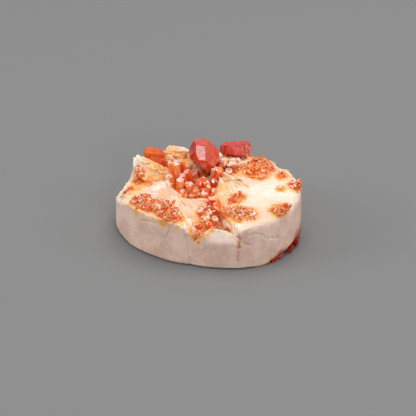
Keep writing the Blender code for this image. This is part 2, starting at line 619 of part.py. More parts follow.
def make_underside_pieces():
    """Crystals on the broken edge under the right end, pointing out and down."""
    draw = random.Random(31)
    pieces = []
    for x, y, height, radius, length, rise in UNDERSIDE_LARGE:
        name = f"underside_{len(pieces)}"
        axis = (x, y, 8 * rise)
        pieces.append(hexagonal_prism(name, (x, y, height), axis, stubby(radius, length), 0.3))
    for low, high, count in UNDERSIDE_DIRECTIONS:
        for step in range(count):
            angle = math.radians(low + (high - low) * (step + 0.5) / count)
            undercut = height_at(UNDERCUT_HEIGHTS, angle)
            share = draw.uniform(0.88, 0.97)
            at = outline_point(angle) * share
            height = max(0.35, undercut * (share - UNDERCUT_INSET) / (1 - UNDERCUT_INSET) - 0.25)
            axis = Vector((math.cos(angle), math.sin(angle), -0.5 + draw.uniform(-0.3, 0.3)))
            radius = draw.uniform(0.35, 0.62)
            centre = Vector((*at, height))
            rings = stubby(radius, 2.4 * radius)
            name = f"underside_{len(pieces)}"
            pieces.append(hexagonal_prism(name, centre, axis, rings, draw.uniform(0, 1)))
    for step in range(9):
        angle = math.radians(-48 + 10 * step)
        at = outline_point(angle) * 0.9
        height = height_at(UNDERCUT_HEIGHTS, angle) * 0.45
        pieces.append(seat_lump(f"underside_lump{step}", Vector((*at, height)), (0, 0, 1), 1.5, 0.5))
    return pieces


def crystal_clusters(ground, tall_room, lying_room):
    """(name, pieces, rooms kept free) of every cluster and single crystal."""

    def placed(name, crystals, lumps, rooms=()):
        return name, cluster_pieces(name, ground, crystals, lumps), rooms

    finger = [
        make_large_crystal("finger", ORANGE_FINGER),
        make_large_crystal("finger_foot", ORANGE_FINGER_FOOT),
    ]
    small = (0.30, 0.52)
    return [
        ("tall_crystal", [faceted_crystal("tall", TALL_CENTRE, TALL_FACETS)], ()),
        ("lying_crystal", [make_large_crystal("lying", LYING_CRYSTAL)], (tall_room,)),
        ("orange_finger", finger, ()),
        ("bead_crystal", [make_large_crystal("bead", BEAD_CRYSTAL)], ()),
        placed("hollow_crystals", HOLLOW_CRYSTALS, HOLLOW_LUMPS, (tall_room, lying_room)),
        placed("gully_crystals", GULLY_CRYSTALS, GULLY_LUMPS),
        placed("rim_crust", sprinkled(3, RIM_SPOTS, small), RIM_LUMPS),
        placed("rosette", sprinkled(5, ROSETTE_SPOTS, small), ROSETTE_LUMPS),
        placed("knot_cluster", sprinkled(7, KNOT_SPOTS, small), KNOT_LUMPS),
        placed("lip_cluster", sprinkled(9, LIP_SPOTS, small), LIP_LUMPS),
        placed("shoulder_cluster", sprinkled(11, SHOULDER_SPOTS, small), SHOULDER_LUMPS),
        placed("edge_cluster", sprinkled(13, EDGE_SPOTS, small), EDGE_LUMPS),
        placed("spot_cluster", sprinkled(15, SPOT_SPOTS, (0.22, 0.34)), SPOT_LUMPS),
        placed("cavity_crystals", CAVITY_CRYSTALS, CAVITY_LUMPS),
        placed("left_cluster", sprinkled(17, LEFT_SPOTS, (0.25, 0.36)), LEFT_LUMPS),
        placed("pocket_crystals", POCKET_CRYSTALS, POCKET_LUMPS, (tall_room, lying_room)),
        ("underside_crystals", make_underside_pieces(), ()),
    ]


def build():
    clean_scene()
    noise.seed_set(NOISE_SEED)
    barite = finish_material("barite", (0.86, 0.74, 0.66), 0.5)
    vanadinite = finish_material("vanadinite", (0.62, 0.10, 0.04), 0.22)
    orange = finish_material("orange_vanadinite", (0.80, 0.28, 0.07), 0.3)
    top = top_surface()
    matrix = make_matrix("barite_matrix", top)
    largest_body(matrix)
    matrix.data.materials.clear()
    matrix.data.materials.append(barite)
    seat = make_matrix("seat_cutter", top, SEAT_GAP)
    envelope = make_envelope()
    tall_room = faceted_crystal("tall_room", TALL_CENTRE, TALL_FACETS, SEAT_GAP)
    lying_room = make_large_crystal("lying_room", LYING_CRYSTAL, SEAT_GAP)
    for name, pieces, rooms in crystal_clusters(Ground(top), tall_room, lying_room):
        made = fused(name, pieces) if len(pieces) > 1 else pieces[0]
        made.name = name
        made = trimmed(made, "INTERSECT", envelope)
        for room in (seat, *rooms):
            made = trimmed(made, "DIFFERENCE", room)
        largest_body(made)
        made.data.materials.clear()
        made.data.materials.append(orange if name in ORANGE_NODES else vanadinite)
    for tool in (seat, envelope, tall_room, lying_room):
        bpy.data.objects.remove(tool)


build()
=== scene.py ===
"""Looks of the vanadinite druzy: a cut oval of white bladed barite, set with red six-sided crystals.

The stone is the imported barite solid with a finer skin: packets of parallel blades on its natural top,
a satin ground side with cracks and creases, and orange stain round the crystals. Separate blades of
barite lie and stand on it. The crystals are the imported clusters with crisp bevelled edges, and a crust
of small crystals on and round each of them. The rosette has rings of plates besides, short crystals
fill the hollow's floor, and a heap of pale ones lies before the lying crystal.
Lengths below are in millimetres, and MM turns them into metres as each mesh is made.
"""

import math
import random

import bmesh
import bpy
import numpy as np
from mathutils import Matrix, Vector, kdtree, noise
from mathutils.bvhtree import BVHTree


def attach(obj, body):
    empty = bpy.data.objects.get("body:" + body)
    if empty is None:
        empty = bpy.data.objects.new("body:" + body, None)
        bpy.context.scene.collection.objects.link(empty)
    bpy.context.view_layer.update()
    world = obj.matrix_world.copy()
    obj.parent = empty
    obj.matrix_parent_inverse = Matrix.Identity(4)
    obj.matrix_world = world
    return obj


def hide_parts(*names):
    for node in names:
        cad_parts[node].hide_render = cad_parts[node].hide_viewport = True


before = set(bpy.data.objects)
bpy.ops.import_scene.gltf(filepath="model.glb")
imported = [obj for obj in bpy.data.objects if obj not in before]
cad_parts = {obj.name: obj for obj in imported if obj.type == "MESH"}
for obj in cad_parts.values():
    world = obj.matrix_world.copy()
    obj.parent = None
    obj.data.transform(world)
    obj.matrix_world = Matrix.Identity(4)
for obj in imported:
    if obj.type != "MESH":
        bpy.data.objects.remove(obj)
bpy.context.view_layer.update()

MM = 0.001

# The photograph's view
IMAGE_PIXELS = 416
PIXEL_SIZE = 0.146
CAMERA_RISE = math.radians(32)
CAMERA_DISTANCE = 1500.0
VIEW_CENTRE_RIGHT = -0.5 * PIXEL_SIZE
VIEW_CENTRE_UP = 19 * PIXEL_SIZE
SENSOR_WIDTH = 36.0

# The stone's fine skin: the spacing of its points, and its rounds of smoothing
SKIN_SPACING = 0.142
SKIN_SMOOTHING = 4
SIDE_SMOOTHING = 12
SHOULDER_SMOOTHING = 220

# Worn places of the side: how far in, how high, and from where to where in degrees round from the right
BASE_INSET = 0.45
BASE_INSET_HEIGHT = 0.30
PARAPET_INSET = 0.8
PARAPET = (-90, -71)
BROKEN_EDGE = (-56, 60)
RIGHT_SHOULDER = (-60, 25)
BACK_CORNER = (138, 168)

# Packets of blades on the top, and the crust that swells the stone round its crystals
PACKET_COUNT = 240
PACKET_TILT = 0.10
CRUST_RISE = 0.12
CRUST_REACH = 0.35
FARTHEST_GAP = 3.0

# Steps of direction in the stone's outline
OUTLINE_STEPS = 120
STEP_DEGREES = 360 // OUTLINE_STEPS

# How the copied solids are cleaned: points merged, and facets taken as flat
MERGE_DISTANCE = 0.0005
FLAT_ANGLE = math.radians(0.5)

# Random draws: one seed for each kind of piece
STONE_SEED = 11
BLADE_SEED = 51
PALE_SEED = 61
ROSETTE_SEED = 71
FLOOR_SEED = 81
MOUND_SEED = 82
NOISE_SEED = 5
noise.seed_set(NOISE_SEED)

CRYSTAL_NODES = sorted(set(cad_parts) - {"barite_matrix"})


def select_only(piece):
    bpy.ops.object.select_all(action="DESELECT")
    piece.select_set(True)
    bpy.context.view_layer.objects.active = piece


def apply_modifier(piece, kind, **settings):
    """Adds a modifier of this kind and applies it."""
    modifier = piece.modifiers.new(kind.lower(), kind)
    for key, value in settings.items():
        setattr(modifier, key, value)
    select_only(piece)
    bpy.ops.object.modifier_apply(modifier=modifier.name)


def new_object(name, data):
    made = bpy.data.objects.new(name, data)
    bpy.context.scene.collection.objects.link(made)
    return made


def copy_of(name, node):
    """A new piece from the node's mesh, with its loose triangles merged and flat facets made whole."""
    piece = new_object(name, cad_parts[node].data.copy())
    piece.data.name = name
    piece.data.materials.clear()
    select_only(piece)
    bpy.ops.mesh.customdata_custom_splitnormals_clear()
    bpy.ops.object.mode_set(mode="EDIT")
    bpy.ops.mesh.select_all(action="SELECT")
    bpy.ops.mesh.remove_doubles(threshold=MERGE_DISTANCE * MM)
    bpy.ops.mesh.dissolve_limited(angle_limit=FLAT_ANGLE)
    bpy.ops.object.mode_set(mode="OBJECT")
    return piece


def piece_from(name, points, faces):
    mesh = bpy.data.meshes.new(name)
    mesh.from_pydata(points, [], faces)
    return new_object(name, mesh)


def paint(piece, name, values, domain="POINT", kind="FLOAT"):
    """Keeps a value for each point or face as an attribute that the materials read."""
    attribute = piece.data.attributes.new(name, kind, domain)
    field = "vector" if kind == "FLOAT_VECTOR" else "value"
    attribute.data.foreach_set(field, np.asarray(values, np.float32).ravel())


def eased(value, low, high):
    """0 below low and 1 above high, with a smooth step between."""
    share = np.clip((value - low) / (high - low), 0, 1)
    return share * share * (3 - 2 * share)


def point_array(piece):
    flat = np.zeros(len(piece.data.vertices) * 3, np.float32)
    piece.data.vertices.foreach_get("co", flat)
    return flat.reshape(-1, 3).astype(float) / MM


def normal_array(piece):
    flat = np.zeros(len(piece.data.vertices) * 3, np.float32)
    piece.data.vertex_normals.foreach_get("vector", flat)
    return flat.reshape(-1, 3).astype(float)


def noise_array(points, size, seed, octaves=3):
    """Smooth noise of about this feature size at each point, mostly between -1 and 1."""
    shift = Vector((seed * 7.3, seed * 3.1, seed * 5.7))
    return np.array([noise.fractal(Vector(p) / size + shift, 0.9, 2.0, octaves) for p in points])


# Node materials
def is_link(value):
    return isinstance(value, bpy.types.NodeSocket)


def set_inputs(tree, node, values):
    """Gives the node's inputs these values or links."""
    for key, value in values.items():
        if is_link(value):
            tree.links.new(value, node.inputs[key])
        else:
            node.inputs[key].default_value = value


def add(tree, kind, inputs=None, **settings):
    """A shader node with these settings, whose inputs get these values or links."""
    made = tree.nodes.new("ShaderNode" + kind)
    for key, value in settings.items():
        setattr(made, key, value)
    set_inputs(tree, made, inputs or {})
    return made


def blended(tree, share, first, second):
    """The colour that goes from the first to the second as the share goes from 0 to 1."""
    first, second = (value if is_link(value) else (*value, 1.0) for value in (first, second))
    mix = add(tree, "Mix", {0: share, 6: first, 7: second}, data_type="RGBA", clamp_factor=True)
    return mix.outputs[2]


def sum_of(tree, first, second, factor=1.0):
    """first + second * factor, as one number."""
    made = add(tree, "Math", {0: second, 1: factor, 2: first}, operation="MULTIPLY_ADD")
    return made.outputs[0]


def stepped(tree, value, low, high):
    return add(tree, "MapRange", {0: value, 1: low, 2: high}, interpolation_type="SMOOTHSTEP").outputs[0]


def attribute(tree, name):
    return add(tree, "Attribute", attribute_name=name).outputs


def noise_node(tree, vector, size, detail=3.0, roughness=0.55):
    """Noise with features of about this size in millimetres, on a vector in metres."""
    inputs = {"Vector": vector, "Scale": 1 / (size * MM), "Detail": detail, "Roughness": roughness}
    return add(tree, "TexNoise", inputs).outputs[0]


def new_finish(name):
    material = bpy.data.materials.new(name)
    material.use_nodes = True
    tree = material.node_tree
    return material, tree, tree.nodes["Principled BSDF"]


def add_relief(tree, shader, height, depth, strength):
    """Relief on the shader: the height, from 0 to 1, stands for this depth in millimetres."""
    bump = add(tree, "Bump", {"Strength": strength, "Distance": depth * MM, "Height": height})
    tree.links.new(bump.outputs[0], shader.inputs["Normal"])


CREAM = (0.84, 0.69, 0.53)
CREAM_SHADE = (0.83, 0.60, 0.44)
BLUSH = (0.80, 0.40, 0.28)
SIDE_PALE = (0.92, 0.67, 0.55)
SIDE_DARK = (0.74, 0.48, 0.37)
STAIN_PALE = (0.93, 0.52, 0.20)
STAIN_DEEP = (0.86, 0.27, 0.04)
# Rust colour, also used for the painted shade under the broken edge
RUST_AND_SHADE_COLOUR = (0.50, 0.15, 0.05)
WHITE_AND_HIGHLIGHT_COLOUR = (0.96, 0.90, 0.84)
BARITE_IOR = 1.64


def barite_finish():
    """White barite, cream to pink, with blade grain on top, a satin ground side and orange stain, rust
    with painted shade under the broken edge, and white with painted highlights on crests, rims and the
    dome.
    """
    material, tree, shader = new_finish("barite")
    place = add(tree, "TexCoord").outputs["Object"]
    upright = add(tree, "Mapping", {"Vector": place, "Scale": (1, 1, 0.35)}).outputs[0]
    grain = attribute(tree, "grain")[1]
    blade_inputs = {"Vector": grain, "Scale": 1.0, "Detail": 2.5, "Roughness": 0.6}
    blade = add(tree, "TexNoise", blade_inputs).outputs[0]
    blade = add(tree, "Mix", {0: attribute(tree, "seam")[2], 2: blade, 3: 0.5}).outputs[0]
    cloud = noise_node(tree, place, 3.0)
    fleck = noise_node(tree, place, 0.35, 4.0, 0.65)
    streak = noise_node(tree, upright, 0.7, 3.0, 0.6)

    ground = blended(tree, stepped(tree, cloud, 0.35, 0.65), CREAM, CREAM_SHADE)
    blush = sum_of(tree, attribute(tree, "blush")[2], sum_of(tree, -0.5, cloud), 0.5)
    ground = blended(tree, blush, ground, BLUSH)
    side_tone = sum_of(tree, sum_of(tree, cloud, streak, 0.6), sum_of(tree, -0.5, fleck), 0.7)
    side_tone = blended(tree, stepped(tree, side_tone, 0.55, 1.05), SIDE_PALE, SIDE_DARK)
    ground = blended(tree, attribute(tree, "side")[2], ground, side_tone)
    # White mixed in, partly white barite and partly painted highlight
    white = sum_of(tree, attribute(tree, "white_and_highlight")[2], sum_of(tree, -0.5, fleck), 0.6)
    ground = blended(tree, white, ground, WHITE_AND_HIGHLIGHT_COLOUR)

    stain = sum_of(tree, attribute(tree, "stain")[2], sum_of(tree, -0.5, blade), 1.1)
    stain = sum_of(tree, stain, sum_of(tree, -0.5, fleck), 0.8)
    ground = blended(tree, stepped(tree, stain, 0.08, 0.50), ground, STAIN_PALE)
    ground = blended(tree, stepped(tree, stain, 0.45, 0.95), ground, STAIN_DEEP)
    # Rust, and painted shade under the broken edge
    rust_and_shade = sum_of(tree, attribute(tree, "rust_and_shade")[2], sum_of(tree, -0.5, fleck), 0.8)
    ground = blended(tree, stepped(tree, rust_and_shade, 0.15, 0.8), ground, RUST_AND_SHADE_COLOUR)

    roughness = add(tree, "MapRange", {0: sum_of(tree, blade, fleck), 1: 0.6, 2: 1.4, 3: 0.28, 4: 0.55})
    set_inputs(tree, shader, {
        "Base Color": ground,
        "Roughness": roughness.outputs[0],
        "IOR": BARITE_IOR,
        "Subsurface Weight": 0.25,
        "Subsurface Radius": (1.0, 0.55, 0.35),
        "Subsurface Scale": 0.5 * MM,
    })
    add_relief(tree, shader, sum_of(tree, fleck, blade, 0.8), depth=0.06, strength=0.8)
    return material


# Colours of the crystals, from tint 0 to tint 1
# White of the painted glints, highlights painted on the crystals' facets
GLINT_COLOUR = (0.97, 0.80, 0.74)
RED_TONES = [
    (0.0, (0.36, 0.010, 0.003)),
    (0.3, (0.78, 0.04, 0.008)),
    (0.62, (0.95, 0.18, 0.02)),
    (1.0, (0.98, 0.50, 0.20)),
]
CRIMSON_TONES = [
    (0.0, (0.40, 0.006, 0.003)),
    (0.35, (0.72, 0.028, 0.008)),
    (0.7, (0.87, 0.12, 0.045)),
    (1.0, (0.95, 0.40, 0.28)),
]
ORANGE_TONES = [
    (0.0, (0.70, 0.08, 0.006)),
    (0.4, (0.90, 0.19, 0.015)),
    (0.7, (0.96, 0.36, 0.05)),
    (1.0, (0.96, 0.60, 0.22)),
]
PALE_TONES = [
    (0.0, (0.90, 0.36, 0.16)),
    (0.4, (0.93, 0.55, 0.34)),
    (0.75, (0.96, 0.76, 0.60)),
    (1.0, (0.97, 0.90, 0.80)),
]


def crystal_finish(name, tones, roughness, transmission, ior, mottle=0.35):
    """Glossy translucent crystal. Each facet's tint, 0 to 1, picks its colour, and a painted glint whitens
    it as a painted highlight.
    """
    material, tree, shader = new_finish(name)
    place = add(tree, "TexCoord").outputs["Object"]
    upright = add(tree, "Mapping", {"Vector": place, "Scale": (1, 1, 0.45)}).outputs[0]
    patch = noise_node(tree, upright, 0.5, 3.0)
    speck = noise_node(tree, upright, 0.16, 3.0, 0.6)
    tint = sum_of(tree, attribute(tree, "tint")[2], sum_of(tree, -0.5, patch), mottle * 2)
    ramp = add(tree, "ValToRGB", {0: tint})
    stops = ramp.color_ramp.elements
    for index, (at, colour) in enumerate(tones):
        stop = stops[index] if index < len(stops) else stops.new(at)
        stop.position = at
        stop.color = (*colour, 1.0)
    # Painted highlight: white glints mixed in by the attribute and the noise
    painted_glint = sum_of(tree, attribute(tree, "painted_glint")[2], sum_of(tree, -0.5, speck), 1.3)
    painted_glint = stepped(tree, sum_of(tree, painted_glint, sum_of(tree, -0.5, patch), 1.2), 0.25, 0.8)
    gloss = add(tree, "MapRange", {0: patch, 1: 0.3, 2: 0.7, 3: roughness[0], 4: roughness[1]})
    gloss = sum_of(tree, gloss.outputs[0], attribute(tree, "painted_glint")[2], 0.35)
    set_inputs(tree, shader, {
        "Base Color": blended(tree, painted_glint, ramp.outputs[0], GLINT_COLOUR),
        "Roughness": gloss,
        "IOR": ior,
        "Specular IOR Level": 0.26,
        "Transmission Weight": transmission,
        "Subsurface Weight": 0.3,
        "Subsurface Radius": (1.0, 0.30, 0.10),
        "Subsurface Scale": 0.35 * MM,
    })
    add_relief(tree, shader, sum_of(tree, patch, speck, 0.5), depth=0.03, strength=0.6)
    return material


# Packets of blades on the stone: middle (x, y), reach, direction of the blades in degrees, relief
BLADE_ZONES = [
    (-8.4, 5.6, 3.0, -38, 0.18), (-5.6, 8.6, 2.6, -10, 0.16), (-9.8, 2.4, 2.4, -20, 0.16),
    (-9.0, -2.0, 2.6, -15, 0.10), (-5.6, -3.4, 3.0, -50, 0.12), (-3.6, -7.8, 2.0, -75, 0.16),
    (-1.0, -8.0, 2.6, -88, 0.20), (1.0, -10.0, 1.8, -100, 0.14), (3.0, -6.0, 2.2, -70, 0.12),
    (3.6, 0.4, 2.6, -52, 0.18), (4.4, 6.0, 2.6, 20, 0.20), (8.0, 4.6, 2.6, -45, 0.18),
    (10.8, 2.0, 2.4, -55, 0.14), (8.6, -3.6, 3.6, -15, 0.05), (6.4, -8.0, 3.0, 10, 0.05),
    (0.0, 9.0, 4.0, 5, 0.16), (0.0, 1.0, 3.0, -60, 0.16),
]

# Orange stain, rust with painted shade under the broken edge, pink blush, and white with painted
# highlights on the stone: middle (x, y, z), reach, amount
STAINS = [
    ((-9.9, 4.9, 5.4), 1.5, 0.95), ((-8.2, 3.4, 5.6), 1.8, 0.75), ((-10.6, 3.2, 4.6), 1.8, 0.65),
    ((-9.4, 2.2, 5.0), 2.4, 0.6), ((-6.4, 3.4, 6.4), 1.7, 0.7), ((-7.8, 5.2, 7.0), 2.2, 0.5),
    ((-8.8, 6.4, 7.2), 1.4, 0.3), ((-5.8, 1.6, 5.6), 1.6, 0.6), ((2.2, -1.0, 7.2), 1.6, 0.45),
    ((1.8, -4.6, 7.0), 1.6, 0.5), ((3.0, 3.2, 7.4), 2.0, 0.5), ((6.6, 5.6, 8.2), 1.6, 0.45),
    ((-5.2, 8.0, 7.2), 2.4, 0.4), ((-0.6, -7.4, 6.0), 2.2, 0.45), ((-3.4, -4.2, 7.4), 2.0, 0.25),
    ((-4.0, -9.4, 6.4), 1.2, 0.5), ((1.4, -9.0, 5.2), 1.4, 0.9),
    ((-6.6, 6.6, 6.4), 1.6, 0.6), ((-3.8, 7.4, 6.6), 1.4, 0.7), ((-2.4, 8.2, 6.8), 1.3, 0.6),
    ((-4.6, 5.2, 5.4), 1.4, 0.6), ((-1.0, -0.8, 4.6), 1.6, 0.7), ((0.4, -1.6, 5.6), 1.2, 0.6),
    ((1.6, -3.2, 6.6), 1.2, 0.45), ((1.6, -6.4, 6.4), 1.0, 0.5), ((3.4, 1.8, 7.4), 1.3, 0.5),
    ((4.8, 2.4, 7.9), 1.5, 0.5), ((6.2, 1.0, 8.1), 1.4, 0.45), ((7.4, 2.4, 8.5), 1.8, 0.65),
    ((10.3, 1.3, 8.2), 0.8, 0.8), ((10.6, 0.4, 8.3), 0.8, 0.6), ((12.2, -1.0, 8.3), 1.0, 0.4),
    ((2.4, -6.4, 7.2), 1.0, 0.6), ((4.6, 5.4, 8.0), 1.2, 0.55), ((-3.4, -9.0, 6.2), 1.2, 0.35),
    ((-0.6, -10.0, 5.4), 1.4, 0.55), ((0.6, -10.4, 6.0), 0.5, 0.8), ((-2.9, -6.6, 6.4), 1.2, 0.3),
    ((-5.0, -2.0, 7.6), 1.5, 0.15), ((-10.9, -2.4, 6.4), 1.0, 0.4), ((-11.8, 1.4, 5.4), 1.3, 0.35),
    ((3.8, -4.4, 8.2), 1.7, 0.55), ((2.8, -7.4, 7.4), 1.4, 0.6), ((10.2, -7.6, 7.9), 1.9, 0.42),
    ((2.2, -6.0, 5.8), 1.7, 0.95), ((-10.8, 1.0, 5.8), 2.0, 0.72), ((12.4, -2.0, 8.5), 1.3, 0.4),
    ((10.5, -3.0, 8.6), 1.1, 0.35), ((-7.4, -6.6, 7.0), 2.4, 0.42),
]
RUST_AND_UNDERCUT_SHADE_SPOTS = [
    ((-9.8, 5.0, 5.0), 0.9, 0.5), ((2.4, -9.4, 4.8), 1.3, 0.9), ((1.5, -8.2, 5.0), 1.0, 0.7),
    ((2.2, -6.6, 5.6), 1.3, 0.6), ((2.3, -5.2, 6.2), 1.0, 0.45),
    ((-2.0, 7.0, 6.0), 0.9, 0.4), ((0.8, 0.2, 4.8), 1.0, 0.5), ((3.4, 3.0, 7.0), 0.8, 0.4),
    # Painted shade: dark brown on the stone under the broken edge at the right, where the overhang's
    # shadow falls
    ((12.2, -4.2, 0.8), 3.4, 0.75), ((9.6, -8.0, 0.5), 2.6, 0.7), ((13.0, 0.0, 0.9), 2.4, 0.6),
]
BLUSHES = [
    ((-6.6, -2.2, 7.5), 3.0, 0.72), ((8.0, -9.6, 7.2), 2.6, 0.4), ((-8.6, -3.8, 7.0), 2.4, 0.5),
    ((-3.6, -7.0, 7.0), 1.8, 0.4), ((-4.6, 7.6, 7.2), 2.0, 0.35), ((4.6, 3.2, 8.0), 1.4, 0.35),
    ((-1.0, -3.2, 6.4), 1.6, 0.4), ((6.6, -9.2, 7.0), 2.0, 0.25),
]
# Most of these white spots are painted highlights: the shelf's crest, the front rim, the lit top of the
# dome and the parapet's lit front
WHITE_AND_HIGHLIGHT_SPOTS = [
    ((-10.6, 7.2, 7.0), 1.0, 0.9), ((-6.8, -0.2, 7.8), 1.6, 0.5), ((1.4, -10.4, 6.1), 1.4, 0.5),
    ((4.2, -10.4, 6.2), 1.2, 0.5), ((8.6, -3.0, 8.5), 3.6, 0.35), ((9.4, 4.0, 8.2), 1.2, 0.5),
    ((1.2, -11.2, 5.6), 1.8, 0.28), ((-7.4, -1.0, 7.4), 0.9, 0.8),
]

# Cracks and creases on the front of the ground side: (x, z) points along each, half width, depth, rust
FRONT_MARKS = [
    ([(4.2, 5.8), (4.5, 4.8), (4.4, 3.8)], 0.40, 0.16, 0.52),
    ([(4.4, 3.8), (4.25, 2.6), (4.2, 1.4)], 0.24, 0.10, 0.42),
    ([(4.6, 5.2), (5.1, 4.4), (5.9, 3.9)], 0.30, 0.10, 0.30),
    ([(5.9, 5.5), (6.7, 5.8), (7.6, 5.5), (8.6, 4.6), (9.2, 4.3)], 0.16, 0.12, 0.18),
    ([(9.4, 4.2), (10.2, 4.0)], 0.12, 0.08, 0.12),
    ([(-5.6, 6.4), (-5.8, 5.2), (-6.2, 3.8), (-6.1, 2.6)], 0.22, 0.15, 0.14),
    ([(-3.3, 5.0), (-3.0, 3.4), (-2.9, 1.8), (-2.7, 0.4)], 0.30, 0.15, 0.16),
    ([(-2.2, 4.4), (-2.3, 3.0), (-2.0, 1.6)], 0.20, 0.10, 0.10),
    ([(-9.6, 5.4), (-8.8, 5.9), (-7.9, 5.8)], 0.18, 0.10, 0.06),
]
# Stain on the front of the ground side: (x, z), reach, amount
FRONT_STAINS = [
    ((-6.6, 6.8), 1.1, 0.75), ((-10.6, 6.5), 0.8, 0.6), ((-4.6, 6.2), 0.8, 0.3), ((-1.7, 4.4), 0.7, 0.5),
    ((4.4, 4.6), 0.8, 0.3), ((12.4, 1.8), 1.0, 0.4),
]


def joined_nodes(names):
    """(points, triangles) of these nodes together, in millimetres."""
    points, faces = [], []
    for name in names:
        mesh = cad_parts[name].data
        first = len(points)
        points += [v.co / MM for v in mesh.vertices]
        faces += [[first + i for i in face.vertices] for face in mesh.polygons]
    return points, faces


def spot_field(points, spots):
    """How strongly each point is covered by the spots, with ragged edges."""
    ragged = noise_array(points, 1.4, 4)
    value = np.zeros(len(points))
    for middle, reach, amount in spots:
        away = np.linalg.norm(points - np.array(middle), axis=1) / reach + 0.35 * ragged
        value = np.maximum(value, amount * (1 - eased(away, 0.35, 1.25)))
    return value


def line_distance(points, line):
    """The distance of each (x, z) point from the nearest run of the line."""
    nearest = np.full(len(points), 1e9)
    for start, end in zip(np.array(line)[:-1], np.array(line)[1:]):
        run = end - start
        share = np.clip(((points - start) @ run) / (run @ run), 0, 1)
        nearest = np.minimum(nearest, np.linalg.norm(points - start - share[:, None] * run, axis=1))
    return nearest


def outline_share(points):
    """Each point's distance from the upright axis, as a share of the outline's in its direction."""
    angle = np.degrees(np.arctan2(points[:, 1], points[:, 0])) % 360
    radius = np.hypot(points[:, 0], points[:, 1])
    steps = (angle / STEP_DEGREES).astype(int)
    widest = np.zeros(OUTLINE_STEPS)
    np.maximum.at(widest, steps, radius)
    centres = (np.arange(-1, OUTLINE_STEPS + 1) + 0.5) * STEP_DEGREES
    ring = np.concatenate([widest[-1:], widest, widest[:1]])
    return radius / np.interp(angle, centres, ring)


def blade_relief(points, draw):
    """(height, grain coordinates, packet of each point) of packets of parallel blades."""
    packets = kdtree.KDTree(PACKET_COUNT)
    facts = []
    for index in range(PACKET_COUNT):
        at = points[draw.randrange(len(points))]
        packets.insert(at, index)
        zone = min(BLADE_ZONES, key=lambda z: math.hypot(at[0] - z[0], at[1] - z[1]) / z[2])
        turn = math.radians(zone[3] + draw.gauss(0, 12))
        facts.append((at, turn, zone[4], draw.uniform(0.42, 0.75), draw.random(), draw.uniform(-1, 1)))
    packets.balance()
    height = np.zeros(len(points))
    grain = np.zeros((len(points), 3))
    member = np.zeros(len(points), int)
    for i, point in enumerate(points):
        warp = noise.noise_vector(Vector(point) * 1.1) * 0.5
        _, index, _ = packets.find(Vector(point) + warp)
        at, turn, relief, spacing, phase, tilt = facts[index]
        off = point - at
        across = -math.sin(turn) * off[0] + math.cos(turn) * off[1] + 0.6 * off[2]
        along = math.cos(turn) * off[0] + math.sin(turn) * off[1]
        step = across / spacing + phase + 0.35 * noise.noise(Vector((along * 0.8, across * 0.8, index)))
        tooth = step % 1.0
        height[i] = relief * (tooth - 0.5) + PACKET_TILT * tilt * max(-1, min(1, along * 0.5)) * relief * 6
        grain[i] = (across * 5.0, along * 0.7, index * 1.7)
        member[i] = index
    return height, grain, member


def smooth_where(piece, weights, rounds):
    """Smooths the piece this many rounds, each point as much as its weight says."""
    group = piece.vertex_groups.new(name="smoothed")
    for index in np.nonzero(weights > 0.02)[0]:
        group.add([int(index)], float(weights[index]), "REPLACE")
    apply_modifier(piece, "SMOOTH", factor=0.6, iterations=rounds, vertex_group="smoothed")
    piece.vertex_groups.clear()


def within(degrees, low, high, soft):
    """1 for directions between low and high, eased off over the soft margin outside them."""
    return eased(degrees, low - soft, low) * (1 - eased(degrees, high, high + soft))


def worn_side(stone):
    """Wears the side smooth and its edges round. Returns how fully each point belongs to the side."""
    points = point_array(stone)
    normals = normal_array(stone)
    rim = outline_share(points)
    degrees = np.degrees(np.arctan2(points[:, 1], points[:, 0]))
    outer = np.maximum(eased(rim, 0.965, 0.99), 1 - eased(points[:, 2], 3.4, 4.2))
    corner = within(degrees, *BACK_CORNER, 3) * eased(rim, 0.80, 0.86)
    side = np.maximum(outer, corner) * (1 - eased(np.abs(normals[:, 2]), 0.35, 0.75))
    smooth_where(stone, eased(points[:, 2], 0.1, 0.4), SKIN_SMOOTHING)
    smooth_where(stone, side, SIDE_SMOOTHING)
    shoulder = eased(rim, 0.86, 0.93) * eased(points[:, 2], 4.8, 6.0) * within(degrees, *RIGHT_SHOULDER, 4)
    smooth_where(stone, shoulder, SHOULDER_SMOOTHING)
    points = point_array(stone)
    parapet = within(degrees, *PARAPET, 4) * eased(rim, 0.90, 1.0) * eased(points[:, 2], 4.2, 6.2)
    ragged = 1 + 0.4 * noise_array(points, 2.0, 8, 2)
    foot = eased(rim, 0.90, 0.985) * (1 - eased(points[:, 2], 0.02, BASE_INSET_HEIGHT)) * ragged
    foot *= 1 - within(degrees, *BROKEN_EDGE, 4)
    inward = PARAPET_INSET * parapet + BASE_INSET * foot
    outward = points[:, :2] / np.hypot(points[:, 0], points[:, 1])[:, None]
    points[:, :2] -= outward * inward[:, None]
    stone.data.vertices.foreach_set("co", (points * MM).astype(np.float32).ravel())
    stone.data.update()
    return side


def paint_barite(piece, points, parts):
    """Paints what the barite finish reads: the spots of colour, painted shade and highlights among them,
    and the parts given.
    """
    fields = {"stain": spot_field(points, STAINS), "rust_and_shade": spot_field(points, RUST_AND_UNDERCUT_SHADE_SPOTS)}
    fields |= {"blush": spot_field(points, BLUSHES), "white_and_highlight": spot_field(points, WHITE_AND_HIGHLIGHT_SPOTS)}
    for name, values in parts.items():
        fields[name] = np.maximum(fields[name], values) if name in fields else values
    for name, values in fields.items():
        paint(piece, name, values, kind="FLOAT_VECTOR" if name == "grain" else "FLOAT")


